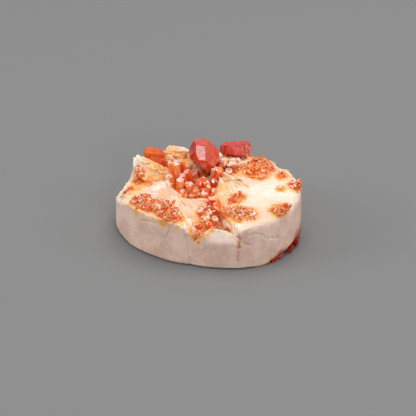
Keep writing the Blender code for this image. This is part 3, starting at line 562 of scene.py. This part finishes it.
def front_marks(points, side):
    """(depth, rust, stain) of the cracks, creases and stains on the front of the ground side."""
    front = side * (points[:, 1] < 0)
    flat = points[:, [0, 2]] + 0.12 * noise_array(points, 0.8, 6)[:, None]
    depth, rust_and_shade, stain = (np.zeros(len(points)) for _ in range(3))
    for line, half_width, deep, colour in FRONT_MARKS:
        groove = front * (1 - eased(line_distance(flat, line), 0.25 * half_width, 1.3 * half_width))
        depth += deep * groove
        rust_and_shade = np.maximum(rust_and_shade, colour * groove)
    ragged = 0.3 * noise_array(points, 2.2, 2, 2)
    for middle, reach, amount in FRONT_STAINS:
        away = np.linalg.norm(flat - np.array(middle), axis=1) / reach + ragged
        stain = np.maximum(stain, front * amount * (1 - eased(away, 0.3, 1.2)))
    return depth, rust_and_shade, stain


def packet_seams(stone, member, side):
    """1 on the ground side and along the edges between two packets of blades, where no grain shows."""
    ends = np.zeros(len(stone.data.edges) * 2, np.int32)
    stone.data.edges.foreach_get("vertices", ends)
    ends = ends.reshape(-1, 2)
    apart = ends[member[ends[:, 0]] != member[ends[:, 1]]]
    seam = side.copy()
    seam[apart.ravel()] = 1
    return seam


def barite_stone():
    """The stone's fine skin, with its blades, cracks and crust, painted for the barite finish."""
    draw = random.Random(STONE_SEED)
    stone = copy_of("barite_stone", "barite_matrix")
    apply_modifier(stone, "REMESH", mode="VOXEL", voxel_size=SKIN_SPACING * MM, use_smooth_shade=True)
    side = worn_side(stone)
    points = point_array(stone)
    normals = normal_array(stone)
    base = (points[:, 2] < 0.15) & (normals[:, 2] < -0.6)
    under = eased(-normals[:, 2], 0.1, 0.5)
    natural = np.clip(1 - side, 0, 1) * (1 - base)
    blades, grain, member = blade_relief(points, draw)
    crystals = BVHTree.FromPolygons(*joined_nodes(CRYSTAL_NODES))
    gap = np.array([crystals.find_nearest(Vector(p), FARTHEST_GAP)[3] or FARTHEST_GAP for p in points])
    near = 1 - eased(gap, 0.05, CRUST_REACH + 0.15)
    crack, crack_rust, side_stain = front_marks(points, side)
    lift = natural * (blades + 0.06 * noise_array(points, 0.45, 1, 2) + CRUST_RISE * near)
    lift += side * (0.05 * noise_array(points, 2.2, 2, 2) + 0.02 * noise_array(points, 0.5, 9, 2)) - crack
    lift[base] = 0
    moved = points + normals * lift[:, None]
    moved[:, 2] = np.maximum(moved[:, 2], 0)
    stone.data.vertices.foreach_set("co", (moved * MM).astype(np.float32).ravel())

    halo = 0.90 * (1 - eased(gap, 0.05, 0.95)) * (natural + 0.5 * side)
    dome = eased(points[:, 0], 3.6, 6.0) * (1 - eased(points[:, 1], -0.5, 2.5))
    valley = 0.55 * natural * (1 - 0.85 * dome) * eased(-blades, 0.0, 0.07)
    # Painted highlight: the crests of the blade relief are whitened
    crest_highlight = 0.7 * natural * (1 - 0.7 * dome) * eased(blades, 0.02, 0.08)
    paint_barite(stone, points, {
        "grain": grain,
        "seam": packet_seams(stone, member, side),
        "side": np.clip(side + 0.6 * under * (1 - side), 0, 1),
        "stain": np.maximum.reduce([halo, valley, side_stain]),
        "rust_and_shade": crack_rust,
        "white_and_highlight": crest_highlight,
    })
    select_only(stone)
    bpy.ops.object.shade_smooth()
    stone.data.materials.append(BARITE)
    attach(stone, "root")
    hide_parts("barite_matrix")
    return stone


# How unevenly the facets of a small crystal are tinted
TINT_UNEVENNESS = 0.13
CUBE_POINTS = 8


# Small crystals and blades, modelled once each and planted as scaled copies
def edit_end(piece):
    """Edit mode on the piece, with only its upper end face selected."""
    select_only(piece)
    bpy.ops.object.mode_set(mode="EDIT")
    bpy.ops.mesh.select_mode(type="FACE")
    shape = bmesh.from_edit_mesh(piece.data)
    for face in shape.faces:
        face.select_set(face.normal.z > 0.9)
    bmesh.update_edit_mesh(piece.data)


def crystal_pattern(name, length, end_bevel=0.0, sunk=0.0):
    """A six-sided crystal of radius 1 on +Z, root at the origin, whose end may be bevelled or sunk."""
    bpy.ops.mesh.primitive_cylinder_add(vertices=6, radius=1, depth=length, location=(0, 0, length / 2))
    piece = bpy.context.object
    piece.name = name
    select_only(piece)
    bpy.ops.object.transform_apply(location=True, rotation=True, scale=True)
    edit_end(piece)
    if end_bevel:
        bpy.ops.mesh.bevel(offset=end_bevel, segments=1, affect="EDGES")
        bpy.ops.object.mode_set(mode="OBJECT")
        edit_end(piece)
    if sunk:
        bpy.ops.mesh.inset(thickness=0.22)
        bpy.ops.transform.translate(value=(0, 0, -sunk))
    bpy.ops.object.mode_set(mode="OBJECT")
    return pattern_of(piece)


def blade_pattern(name, width, thickness, end_width):
    """A thin lath on +Z, one unit long from its root at the origin, with a chisel end."""
    bpy.ops.mesh.primitive_cube_add(size=1, location=(0, 0, 0.5))
    piece = bpy.context.object
    piece.name = name
    piece.scale = (width, thickness, 1)
    select_only(piece)
    bpy.ops.object.transform_apply(location=True, rotation=True, scale=True)
    edit_end(piece)
    bpy.ops.transform.resize(value=(end_width, 0.3, 1))
    bpy.ops.mesh.extrude_region_move(TRANSFORM_OT_translate={"value": (0, 0, 0.12)})
    bpy.ops.transform.resize(value=(0.45, 0.5, 1))
    bpy.ops.object.mode_set(mode="OBJECT")
    points, faces = pattern_of(piece)
    return points, in_fixed_order(faces)


def in_fixed_order(faces):
    """The cube's own faces, then the extruded ones sorted, because these come in any order."""
    extruded = sorted(face for face in faces if max(face) >= CUBE_POINTS)
    return [face for face in faces if face not in extruded] + extruded


def pattern_of(piece):
    """(points, faces) of the piece, which is removed."""
    points = [v.co.copy() for v in piece.data.vertices]
    faces = [tuple(face.vertices) for face in piece.data.polygons]
    mesh = piece.data
    bpy.data.objects.remove(piece)
    bpy.data.meshes.remove(mesh)
    return points, faces


def upright_on(axis, turn):
    """The rotation that takes +Z to the axis, after a turn about it."""
    return Vector(axis).to_track_quat("Z", "Y").to_matrix().to_4x4() @ Matrix.Rotation(turn, 4, "Z")


def planted(name, patterns, plants):
    """One piece with a copy of a pattern for each plant: (pattern number, place matrix in mm, ...)."""
    points, faces = [], []
    for number, place, *_ in plants:
        pattern_points, pattern_faces = patterns[number]
        first = len(points)
        points += [(place @ p) * MM for p in pattern_points]
        faces += [tuple(first + i for i in face) for face in pattern_faces]
    return piece_from(name, points, faces)


def small_crystals(name, plants, draw):
    """Small crystals for the plants (pattern number, place matrix, tint), with a slightly uneven tint."""
    piece = planted(name, SMALL, plants)
    tints = []
    for number, _, tint in plants:
        tints += [tint + draw.uniform(-TINT_UNEVENNESS, TINT_UNEVENNESS) for _ in SMALL[number][1]]
    paint(piece, "tint", tints, "FACE")
    return piece


def scattered(points, faces, count, draw):
    """Random (point, normal) pairs on the triangles, each as likely as its area."""
    corners = [[Vector(points[i]) for i in face] for face in faces]
    crosses = [(c[1] - c[0]).cross(c[2] - c[0]) for c in corners]
    chosen = draw.choices(range(len(faces)), [c.length for c in crosses], k=count)
    found = []
    for index in chosen:
        a, b = draw.random(), draw.random()
        if a + b > 1:
            a, b = 1 - a, 1 - b
        first, second, third = corners[index]
        found.append((first + (second - first) * a + (third - first) * b, crosses[index].normalized()))
    return found


def joined(name, pieces):
    select_only(pieces[0])
    for piece in pieces[1:]:
        piece.select_set(True)
    if len(pieces) > 1:
        bpy.ops.object.join()
    pieces[0].name = name
    pieces[0].data.name = name
    return pieces[0]


def finish_piece(piece, material, node=None):
    """Gives the piece flat facets, its material and its place in the part."""
    piece.data.materials.clear()
    piece.data.materials.append(material)
    for polygon in piece.data.polygons:
        polygon.use_smooth = False
        polygon.material_index = 0
    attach(piece, "root")
    if node:
        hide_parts(node)


def growing_ground(stone):
    """The stone's skin and all clusters, as one surface to plant on."""
    points = [Vector(p) for p in point_array(stone)]
    faces = [tuple(face.vertices) for face in stone.data.polygons]
    first = len(points)
    node_points, node_faces = joined_nodes(CRYSTAL_NODES)
    faces += [tuple(first + i for i in face) for face in node_faces]
    return BVHTree.FromPolygons(points + node_points, faces)


# Where the rays down to the ground start, and how near a large crystal nothing is planted
HIGH_ABOVE = 30.0
LARGE_CLEARANCE = 0.3


def ground_below(x, y, least_rise):
    """(point, normal) of the ground under (x, y), or None where it is too steep or by a large crystal."""
    point, normal, _, _ = GROUND.ray_cast(Vector((x, y, HIGH_ABOVE)), Vector((0, 0, -1)))
    if point is None or normal.z < least_rise or LARGE_CRYSTALS.find_nearest(point, LARGE_CLEARANCE)[0]:
        return None
    return point, normal


def place_in_oval(middle, reach, draw):
    """A random (x, y) in the oval of this middle and reach."""
    away = math.sqrt(draw.random())
    angle = draw.uniform(0, 2 * math.pi)
    return middle[0] + away * reach[0] * math.cos(angle), middle[1] + away * reach[1] * math.sin(angle)


# Each cluster: node, mean tint and spread, small crystals on it, their radii, how far they stray, seed
CLUSTERS = [
    ("hollow_crystals", 0.70, 0.22, 24, (0.12, 0.30), 0.1, 21),
    ("gully_crystals", 0.74, 0.20, 100, (0.10, 0.30), 0.3, 22),
    ("rim_crust", 0.74, 0.22, 340, (0.10, 0.30), 0.3, 23),
    ("rosette", 0.74, 0.18, 36, (0.10, 0.22), 0.2, 24),
    ("knot_cluster", 0.74, 0.18, 50, (0.10, 0.26), 0.2, 25),
    ("lip_cluster", 0.76, 0.20, 120, (0.10, 0.28), 0.2, 26),
    ("shoulder_cluster", 0.84, 0.16, 60, (0.10, 0.26), 0.2, 27),
    ("edge_cluster", 0.55, 0.22, 40, (0.10, 0.26), 0.15, 28),
    ("spot_cluster", 0.62, 0.20, 22, (0.08, 0.20), 0.15, 29),
    ("left_cluster", 0.55, 0.20, 34, (0.08, 0.20), 0.25, 30),
    ("pocket_crystals", 0.70, 0.20, 12, (0.10, 0.26), 0.25, 31),
    # The underside crystals get the darkest tint as painted shade, for the overhang's shadow over them
    ("underside_crystals", 0.00, 0.12, 90, (0.12, 0.24), 0.0, 32),
    ("cavity_crystals", 0.40, 0.20, 34, (0.10, 0.24), 0.25, 33),
    ("tall_crystal", 0.30, 0.10, 0, None, 0.0, 34),
    ("lying_crystal", 0.30, 0.10, 0, None, 0.0, 35),
    ("orange_finger", 0.16, 0.08, 0, None, 0.0, 36),
    ("bead_crystal", 0.75, 0.05, 0, None, 0.0, 37),
]
ORANGE_NODES = ("cavity_crystals", "orange_finger", "bead_crystal")
# The share of small crystals that are white to cream, which is gathered into one piece
PALE_SHARE = 0.12
PALE_PLANTS = []
# How low the crystals under the broken edge may stand
LOWEST_CRYSTAL = 0.3

# Painted glints, white highlights on facets that look up: their amount, and the share of such facets that
# have them
TOP_GLINT = 0.55
CORE_GLINT_SHARE = {
    "hollow_crystals": 0.75,
    "gully_crystals": 0.45,
    "orange_finger": 0.0,
    "underside_crystals": 0.0,
}
USUAL_CORE_GLINT_SHARE = 0.2
SMALL_GLINT_SHARE = 0.22
PATCH_GLINT_SHARE = 0.6

# Facets of the large crystals: (degrees around, degrees of rise, tint, painted glint). The tints are
# partly the crystals' own colour and partly painted light: darker on the left and lower facets as painted
# shade, lighter and pinker on the upper front ones as painted reflection
LARGE_FACETS = {
    "tall_crystal": [
        (18, 81, 0.52, 0.02), (-41, 24, 0.66, 0.05), (-80, 32, 0.42, 0.30), (-164, 18, 0.28, -0.2),
        (-145, 1, 0.34, -0.1), (-88, -15, 0.60, -0.1), (-140, -35, 0.18, -0.2), (-60, -38, 0.15, -0.2),
        (-32, -21, 0.35, -0.1), (12, 2, 0.40, 0.0), (120, 10, 0.3, -0.1),
    ],
    "lying_crystal": [
        (-25, 10, 0.70, 0.30), (-110, 60, 0.30, 0.02), (-110, 0, 0.45, 0.08), (150, -10, 0.3, -0.1),
        (80, 10, 0.3, -0.1),
    ],
}
# Their bevelled edges, which are the faces smaller than this area, painted pale with glints as painted
# highlights along each edge
EDGE_AREA = 0.35
EDGE_HIGHLIGHT_TINT = 0.85
EDGE_GLINT = 0.42
EDGE_WIDTHS = {"tall_crystal": 0.10, "lying_crystal": 0.07, "orange_finger": 0.22}
USUAL_EDGE_WIDTH = 0.035


def paint_facets(core, facets):
    """Tints each face of a large crystal by its direction, with painted shade on the darker facets,
    painted glints, and pale bevelled edges as painted highlights.
    """
    tints, painted_glints = [], []
    for face in core.data.polygons:
        best, tint, painted_glint = -1.0, 0.4, 0.0
        for around, rise, facet_tone_and_shade, facet_glint in facets:
            a, r = math.radians(around), math.radians(rise)
            outward = Vector((math.cos(a) * math.cos(r), math.sin(a) * math.cos(r), math.sin(r)))
            if face.normal.dot(outward) > best:
                best, tint, painted_glint = face.normal.dot(outward), facet_tone_and_shade, facet_glint
        edge = face.area < EDGE_AREA * MM ** 2
        tints.append(EDGE_HIGHLIGHT_TINT if edge else tint)
        painted_glints.append(EDGE_GLINT if edge else painted_glint)
    paint(core, "tint", tints, "FACE")
    paint(core, "painted_glint", painted_glints, "FACE")


def crystal_place(point, normal, radius, draw):
    """Where a small crystal stands: leaning off the surface's normal, its root under the surface."""
    axis = normal + Vector((draw.uniform(-0.7, 0.7), draw.uniform(-0.9, 0.5), draw.uniform(-0.2, 0.8)))
    place = Matrix.Translation(point - normal * radius) @ upright_on(axis, draw.uniform(0, 6.3))
    shape = (draw.uniform(0.8, 1.4), draw.uniform(0.35, 0.9), draw.uniform(0.8, 1.5), 1 / radius)
    return place @ Matrix.Diagonal([radius * share for share in shape])


def cluster_plants(node, tint, spread, count, radii, stray, draw):
    """The small crystals of a cluster: on it and, straying, on the stone round it."""
    points, faces = joined_nodes([node])
    plants = []
    for point, normal in scattered(points, faces, count * 3, draw):
        radius = draw.uniform(*radii) * draw.uniform(0.7, 1.0)
        if node == "underside_crystals":
            if point.z - radius < LOWEST_CRYSTAL:
                continue
        else:
            ground = ground_below(point.x + draw.gauss(0, stray), point.y + draw.gauss(0, stray), 0.15)
            if not ground:
                continue
            point, normal = ground
        number = draw.randrange(len(SMALL))
        place = crystal_place(point, normal, radius, draw)
        plants.append((number, place, draw.gauss(tint, spread)))
    return plants[:count]


def paint_glints(piece, share, draw):
    """Painted glints, white highlights on this share of the facets that look up."""
    values = []
    for face in piece.data.polygons:
        glinting = face.normal.z > 0.5 and draw.random() < share
        values.append(TOP_GLINT if glinting else 0.0)
    paint(piece, "painted_glint", values, "FACE")


def grow_cluster(node, tint, spread, count, radii, stray, seed):
    """The node's crystals with bevelled edges, and small crystals that stand on and round them."""
    draw = random.Random(seed)
    core = copy_of(node + "_core", node)
    large = node in LARGE_FACETS
    width = EDGE_WIDTHS.get(node, USUAL_EDGE_WIDTH) * MM
    rounds = 3 if node == "orange_finger" else 2 if large else 1
    corner = math.radians(15)
    apply_modifier(core, "BEVEL", width=width, segments=rounds, limit_method="ANGLE", angle_limit=corner)
    if large:
        paint_facets(core, LARGE_FACETS[node])
    else:
        paint(core, "tint", [tint + draw.gauss(0, spread) for _ in core.data.polygons], "FACE")
        paint_glints(core, CORE_GLINT_SHARE.get(node, USUAL_CORE_GLINT_SHARE), draw)
    parts = [core]
    if count:
        plants = cluster_plants(node, tint, spread, count, radii, stray, draw)
        pale = [plant for plant in plants if draw.random() < PALE_SHARE and node != "underside_crystals"]
        PALE_PLANTS.extend(pale)
        small = small_crystals(node + "_small", [plant for plant in plants if plant not in pale], draw)
        # No painted glints on the underside crystals, which carry painted shade
        paint_glints(small, 0.0 if node == "underside_crystals" else SMALL_GLINT_SHARE, draw)
        parts.append(small)
    piece = joined(node + "_grown", parts)
    orange = node in ORANGE_NODES
    material = ORANGE if orange else CRIMSON if large else RED
    finish_piece(piece, material, node)


def pale_crystals():
    """The white to cream crystals of all clusters."""
    piece = small_crystals("pale_crystals", PALE_PLANTS, random.Random(PALE_SEED))
    finish_piece(piece, PALE)


# Barite blades that stand on the stone: middle (x, y), reach to x and to y, direction of the blades in
# degrees and its spread, rise, count, lengths
BLADE_PATCHES = [
    ((4.2, 5.4), 2.0, 0.7, 60, 60, 40, 70, (0.9, 1.6)),
    ((3.8, 4.6), 1.6, 0.7, 50, 60, 40, 60, (0.9, 1.6)),
    ((6.2, 5.4), 1.2, 0.6, -30, 40, 18, 20, (0.6, 1.2)),
    ((2.4, 2.6), 0.8, 0.8, -50, 30, 12, 10, (0.6, 1.2)),
    ((9.2, 3.8), 1.1, 0.6, -50, 18, 8, 14, (0.6, 1.1)),
    ((10.5, 2.3), 1.1, 0.6, -55, 18, 8, 12, (0.6, 1.0)),
    ((-0.4, -6.6), 1.2, 2.8, -95, 25, 12, 26, (0.5, 1.1)),
    ((-8.0, -5.0), 3.0, 1.8, -35, 45, 10, 40, (0.4, 0.9)),
    ((4.6, -7.8), 2.2, 1.0, -10, 45, 10, 20, (0.4, 0.8)),
]

# Large blades, one by one: middle (x, y), direction, rise and roll in degrees, length, width
LARGE_BLADES = [
    ((2.5, 2.6), -50, 4, 62, 2.2, 1.5), ((3.0, 1.6), -54, 3, 55, 2.8, 1.6),
    ((3.6, 1.0), -50, 3, 60, 3.0, 1.5), ((4.2, 0.1), -52, 2, 50, 2.8, 1.4),
    ((2.2, 1.6), -56, 3, 70, 2.0, 1.2), ((4.8, -0.8), -48, 2, 50, 2.2, 1.1),
    ((-8.6, 6.2), -38, 2, 20, 2.8, 1.6), ((-9.0, 5.6), -36, 3, 28, 3.0, 1.5),
    ((-8.0, 5.6), -40, 2, 22, 2.8, 1.4), ((-8.2, 4.8), -38, 2, 30, 3.0, 1.4),
    ((-7.4, 5.2), -42, 3, 25, 2.6, 1.3), ((-7.2, 4.2), -38, 2, 35, 2.6, 1.3),
    ((-9.8, 6.6), -30, 3, 15, 1.8, 1.6), ((-6.4, 3.6), -44, 2, 40, 2.0, 1.2),
    ((-7.8, 3.4), -36, 3, 35, 2.2, 1.1), ((-5.4, 8.2), -8, 3, 30, 2.0, 1.4),
    ((-4.2, 8.4), -4, 4, 25, 2.0, 1.4), ((-5.8, 7.2), -30, 4, 30, 1.8, 1.3),
    ((-3.4, 8.0), -12, 3, 30, 1.8, 1.3), ((-6.8, 0.4), -55, 2, 30, 2.0, 1.2),
    ((-5.6, -1.0), -60, 2, 40, 2.2, 1.2), ((-4.6, -2.8), -62, 2, 45, 2.0, 1.1),
    ((-3.8, -4.6), -64, 2, 45, 2.0, 1.1), ((-3.0, -6.6), -70, 2, 50, 1.8, 1.0),
    ((-2.2, -8.6), -76, 3, 50, 1.6, 1.0), ((1.6, -1.6), -80, 2, 60, 2.0, 1.0),
    ((1.8, -3.6), -84, 2, 60, 2.0, 1.0), ((1.7, -5.4), -88, 2, 60, 1.8, 0.9),
    ((10.0, 4.2), -50, 3, 45, 1.8, 1.3), ((10.9, 3.0), -54, 3, 50, 1.8, 1.2),
    ((11.8, 1.8), -60, 3, 50, 1.5, 1.1), ((12.3, 0.4), -75, 4, 45, 1.2, 1.0),
    ((9.0, 4.8), -40, 4, 40, 1.6, 1.2), ((3.6, 5.4), 20, 20, 60, 2.0, 1.4),
    ((4.4, 5.2), -10, 25, 50, 1.8, 1.3), ((2.9, 5.1), 60, 25, 50, 1.6, 1.2),
    ((5.2, 4.9), -30, 20, 60, 1.8, 1.3), ((3.2, 5.6), 15, 12, 30, 2.0, 1.3),
    ((5.0, 6.0), -20, 14, 35, 2.0, 1.3), ((6.0, 5.2), -45, 10, 40, 1.8, 1.1),
]
# How deep the large blades sit in the stone, and how much deeper all blades do
LARGE_BLADE_SINK = 0.16
LATH_SINK = 0.03


def crystal_patch(name, middle, reach, highest, count, radii, tint, seed):
    """Short crystals over an oval patch of ground, none of them on ground above the highest place."""
    draw = random.Random(seed)
    plants = []
    for _ in range(count):
        ground = ground_below(*place_in_oval(middle, reach, draw), 0.3)
        if not ground or ground[0].z > highest:
            continue
        radius = draw.uniform(*radii)
        place = crystal_place(*ground, radius, draw)
        plants.append((draw.randrange(2), place, draw.gauss(tint, 0.18)))
    piece = small_crystals(name, plants, draw)
    paint_glints(piece, PATCH_GLINT_SHARE, draw)
    return piece


def hollow_floor():
    """The crystals that fill the hollow's floor between the upright ones."""
    piece = crystal_patch(
        "hollow_floor_crystals", middle=(-1.4, 3.2), reach=(3.4, 3.6), highest=6.3,
        count=64, radii=(0.34, 0.66), tint=0.60, seed=FLOOR_SEED,
    )
    finish_piece(piece, RED)


def pale_mound():
    """The heap of cream and pink crystals before the lying crystal."""
    piece = crystal_patch(
        "pale_mound", middle=(4.1, 5.0), reach=(2.1, 0.7), highest=9.5,
        count=90, radii=(0.26, 0.50), tint=0.45, seed=MOUND_SEED,
    )
    finish_piece(piece, PALE)


def lath_place(direction, rise, roll, point, normal, length, width):
    """Where a blade lies: along the direction on the surface, risen and rolled about its own length."""
    along = Vector((math.cos(direction), math.sin(direction), 0))
    along = (along - normal * along.dot(normal)).normalized()
    axis = (along * math.cos(rise) + normal * math.sin(rise)).normalized()
    wide = Matrix.Rotation(roll, 3, axis) @ (normal - axis * normal.dot(axis)).normalized()
    turned = Matrix((wide, axis.cross(wide), axis)).transposed().to_4x4()
    root = point - axis * 0.4 * length - normal * LATH_SINK
    return Matrix.Translation(root) @ turned @ Matrix.Diagonal((width, width, length, 1))


# Rings of plates in the rosette: distance from its middle, number of plates, and the share left out
ROSETTE_MIDDLE = (7.4, 2.7)
ROSETTE_RINGS = [(0.35, 6), (0.75, 11), (1.15, 16), (1.55, 21), (1.95, 20)]
MISSING_PLATES = 0.08


def rosette_plates():
    """Thin curved rows of red plates on edge, ring round ring."""
    draw = random.Random(ROSETTE_SEED)
    plants = []
    for distance, count in ROSETTE_RINGS:
        for step in range(count):
            angle = 2 * math.pi * step / count + distance
            away = distance * (1 + 0.10 * math.sin(3 * angle + distance)) + draw.uniform(-0.04, 0.04)
            x = ROSETTE_MIDDLE[0] + away * math.cos(angle)
            y = ROSETTE_MIDDLE[1] + 1.1 * away * math.sin(angle)
            ground = ground_below(x, y, 0.1)
            if not ground or draw.random() < MISSING_PLATES:
                continue
            point, normal = ground
            turn = angle + math.pi / 2 + draw.gauss(0, 0.15)
            length = 2 * math.pi * distance / count * draw.uniform(1.1, 1.5)
            roll = draw.gauss(0, 0.25)
            place = lath_place(turn, math.radians(draw.uniform(0, 12)), roll, point, normal, length, 1.0)
            plants.append((draw.randrange(2), place))
    piece = planted("rosette_plates", LATHS, plants)
    tints = [draw.gauss(0.70, 0.22) for number, _ in plants for _ in LATHS[number][1]]
    paint(piece, "tint", tints, "FACE")
    finish_piece(piece, RED)


def barite_blades():
    """Thin blades along the crests and in the valleys of the stone, stained as the stone is under them."""
    draw = random.Random(BLADE_SEED)
    plants = []
    for middle, reach_x, reach_y, direction, spread, rise, count, lengths in BLADE_PATCHES:
        for _ in range(count):
            ground = ground_below(*place_in_oval(middle, (reach_x, reach_y), draw), 0.1)
            if not ground:
                continue
            point, normal = ground
            turn = math.radians(direction + draw.gauss(0, spread))
            lift = math.radians(max(2.0, draw.gauss(rise, 0.6 * rise)))
            length = draw.uniform(*lengths)
            roll = math.radians(draw.gauss(0, 30))
            width = min(0.4 * length, draw.uniform(0.5, 0.9))
            place = lath_place(turn, lift, roll, point, normal, length, width)
            plants.append((draw.randrange(2), place))
    for middle, direction, rise, roll, length, width in LARGE_BLADES:
        ground = ground_below(*middle, 0.05)
        if ground:
            point, normal = ground
            angles = (math.radians(direction), math.radians(rise), math.radians(roll))
            root = point - normal * LARGE_BLADE_SINK
            plants.append((LARGE_PATTERN, lath_place(*angles, root, normal, length, width)))
    piece = planted("barite_blades", LATHS, plants)
    points = point_array(piece)
    steady = np.concatenate([[draw.random()] * len(LATHS[number][0]) for number, _ in plants])
    paint_barite(piece, points, {
        "grain": points * 2.0,
        "seam": np.ones(len(points)),
        "side": np.zeros(len(points)),
        "stain": 0.22 + 0.4 * eased(steady, 0.3, 1.0) * (points[:, 0] < 6),
        # White on some blades, partly their own white and partly painted highlight on their tops
        "white_and_highlight": 0.4 * (1 - eased(steady, 0.1, 0.6)),
    })
    finish_piece(piece, BARITE)


BARITE = barite_finish()
RED = crystal_finish("vanadinite", RED_TONES, roughness=(0.10, 0.30), transmission=0.10, ior=1.9)
CRIMSON = crystal_finish(
    "large_vanadinite", CRIMSON_TONES, roughness=(0.06, 0.24), transmission=0.25, ior=2.0, mottle=0.6,
)
ORANGE = crystal_finish(
    "orange_vanadinite", ORANGE_TONES, roughness=(0.15, 0.35), transmission=0.10, ior=1.9,
)
PALE = crystal_finish("pale_barite", PALE_TONES, roughness=(0.15, 0.35), transmission=0.0, ior=BARITE_IOR)
SMALL = [
    crystal_pattern("short", length=1.6),
    crystal_pattern("bevelled", length=2.2, end_bevel=0.25),
    crystal_pattern("sunk", length=2.0, sunk=0.25),
]
LATHS = [
    blade_pattern("lath", width=0.62, thickness=0.15, end_width=0.7),
    blade_pattern("narrow_lath", width=0.40, thickness=0.13, end_width=0.6),
    blade_pattern("large_blade", width=0.60, thickness=0.20, end_width=0.8),
]
# The number of the large blade's pattern
LARGE_PATTERN = 2

STONE = barite_stone()
GROUND = growing_ground(STONE)
LARGE_CRYSTALS = BVHTree.FromPolygons(*joined_nodes(sorted(LARGE_FACETS)))
for facts in CLUSTERS:
    grow_cluster(*facts)
pale_crystals()
barite_blades()
rosette_plates()
hollow_floor()
pale_mound()


# Floor, light and camera
FLOOR_METRES = 4.0
FLOOR_GREY = 0.215
SURROUND_BRIGHTNESS = 0.60
# Square soft boxes that face the stone: name, place, size, brightness
LIGHTS = [
    ("top_light", (60, 60, 320), 260, 2.9),
    ("left_light", (-300, -20, 150), 160, 3.8),
    ("right_light", (300, -60, 160), 160, 1.2),
    ("front_light", (90, -250, 158), 80, 7.0),
]


def stage_floor():
    bpy.ops.mesh.primitive_plane_add(size=FLOOR_METRES, location=(0, 0, 0))
    floor = bpy.context.object
    floor.name = "floor"
    material, tree, shader = new_finish("floor_grey")
    grey = (FLOOR_GREY, FLOOR_GREY, FLOOR_GREY, 1)
    set_inputs(tree, shader, {"Base Color": grey, "Roughness": 0.9, "Specular IOR Level": 0.1})
    floor.data.materials.append(material)


def soft_light(name, place, size, brightness):
    light = bpy.data.lights.new(name, "AREA")
    light.size = size * MM
    light.energy = brightness * math.pi * (size * MM) ** 2
    lamp = new_object(name, light)
    lamp.location = Vector(place) * MM
    lamp.rotation_mode = "QUATERNION"
    lamp.rotation_quaternion = Vector(place).to_track_quat("Z", "Y")


def studio():
    stage_floor()
    for light in LIGHTS:
        soft_light(*light)
    world = bpy.data.worlds.new("studio")
    world.use_nodes = True
    background = world.node_tree.nodes["Background"]
    background.inputs[0].default_value = (1, 1, 1, 1)
    background.inputs[1].default_value = SURROUND_BRIGHTNESS
    bpy.context.scene.world = world
    bpy.context.scene.view_settings.view_transform = "Standard"


def camera():
    up = Vector((0, math.sin(CAMERA_RISE), math.cos(CAMERA_RISE)))
    back = Vector((0, -math.cos(CAMERA_RISE), math.sin(CAMERA_RISE)))
    centre = up * VIEW_CENTRE_UP + Vector((VIEW_CENTRE_RIGHT, 0, 0))
    data = bpy.data.cameras.new("camera")
    data.sensor_width = SENSOR_WIDTH
    data.lens = SENSOR_WIDTH * CAMERA_DISTANCE / (IMAGE_PIXELS * PIXEL_SIZE)
    data.clip_start = 0.05
    data.clip_end = 10.0
    viewer = new_object("camera", data)
    viewer.location = (centre + back * CAMERA_DISTANCE) * MM
    viewer.rotation_mode = "QUATERNION"
    viewer.rotation_quaternion = back.to_track_quat("Z", "Y")
    bpy.context.scene.camera = viewer


studio()
camera()
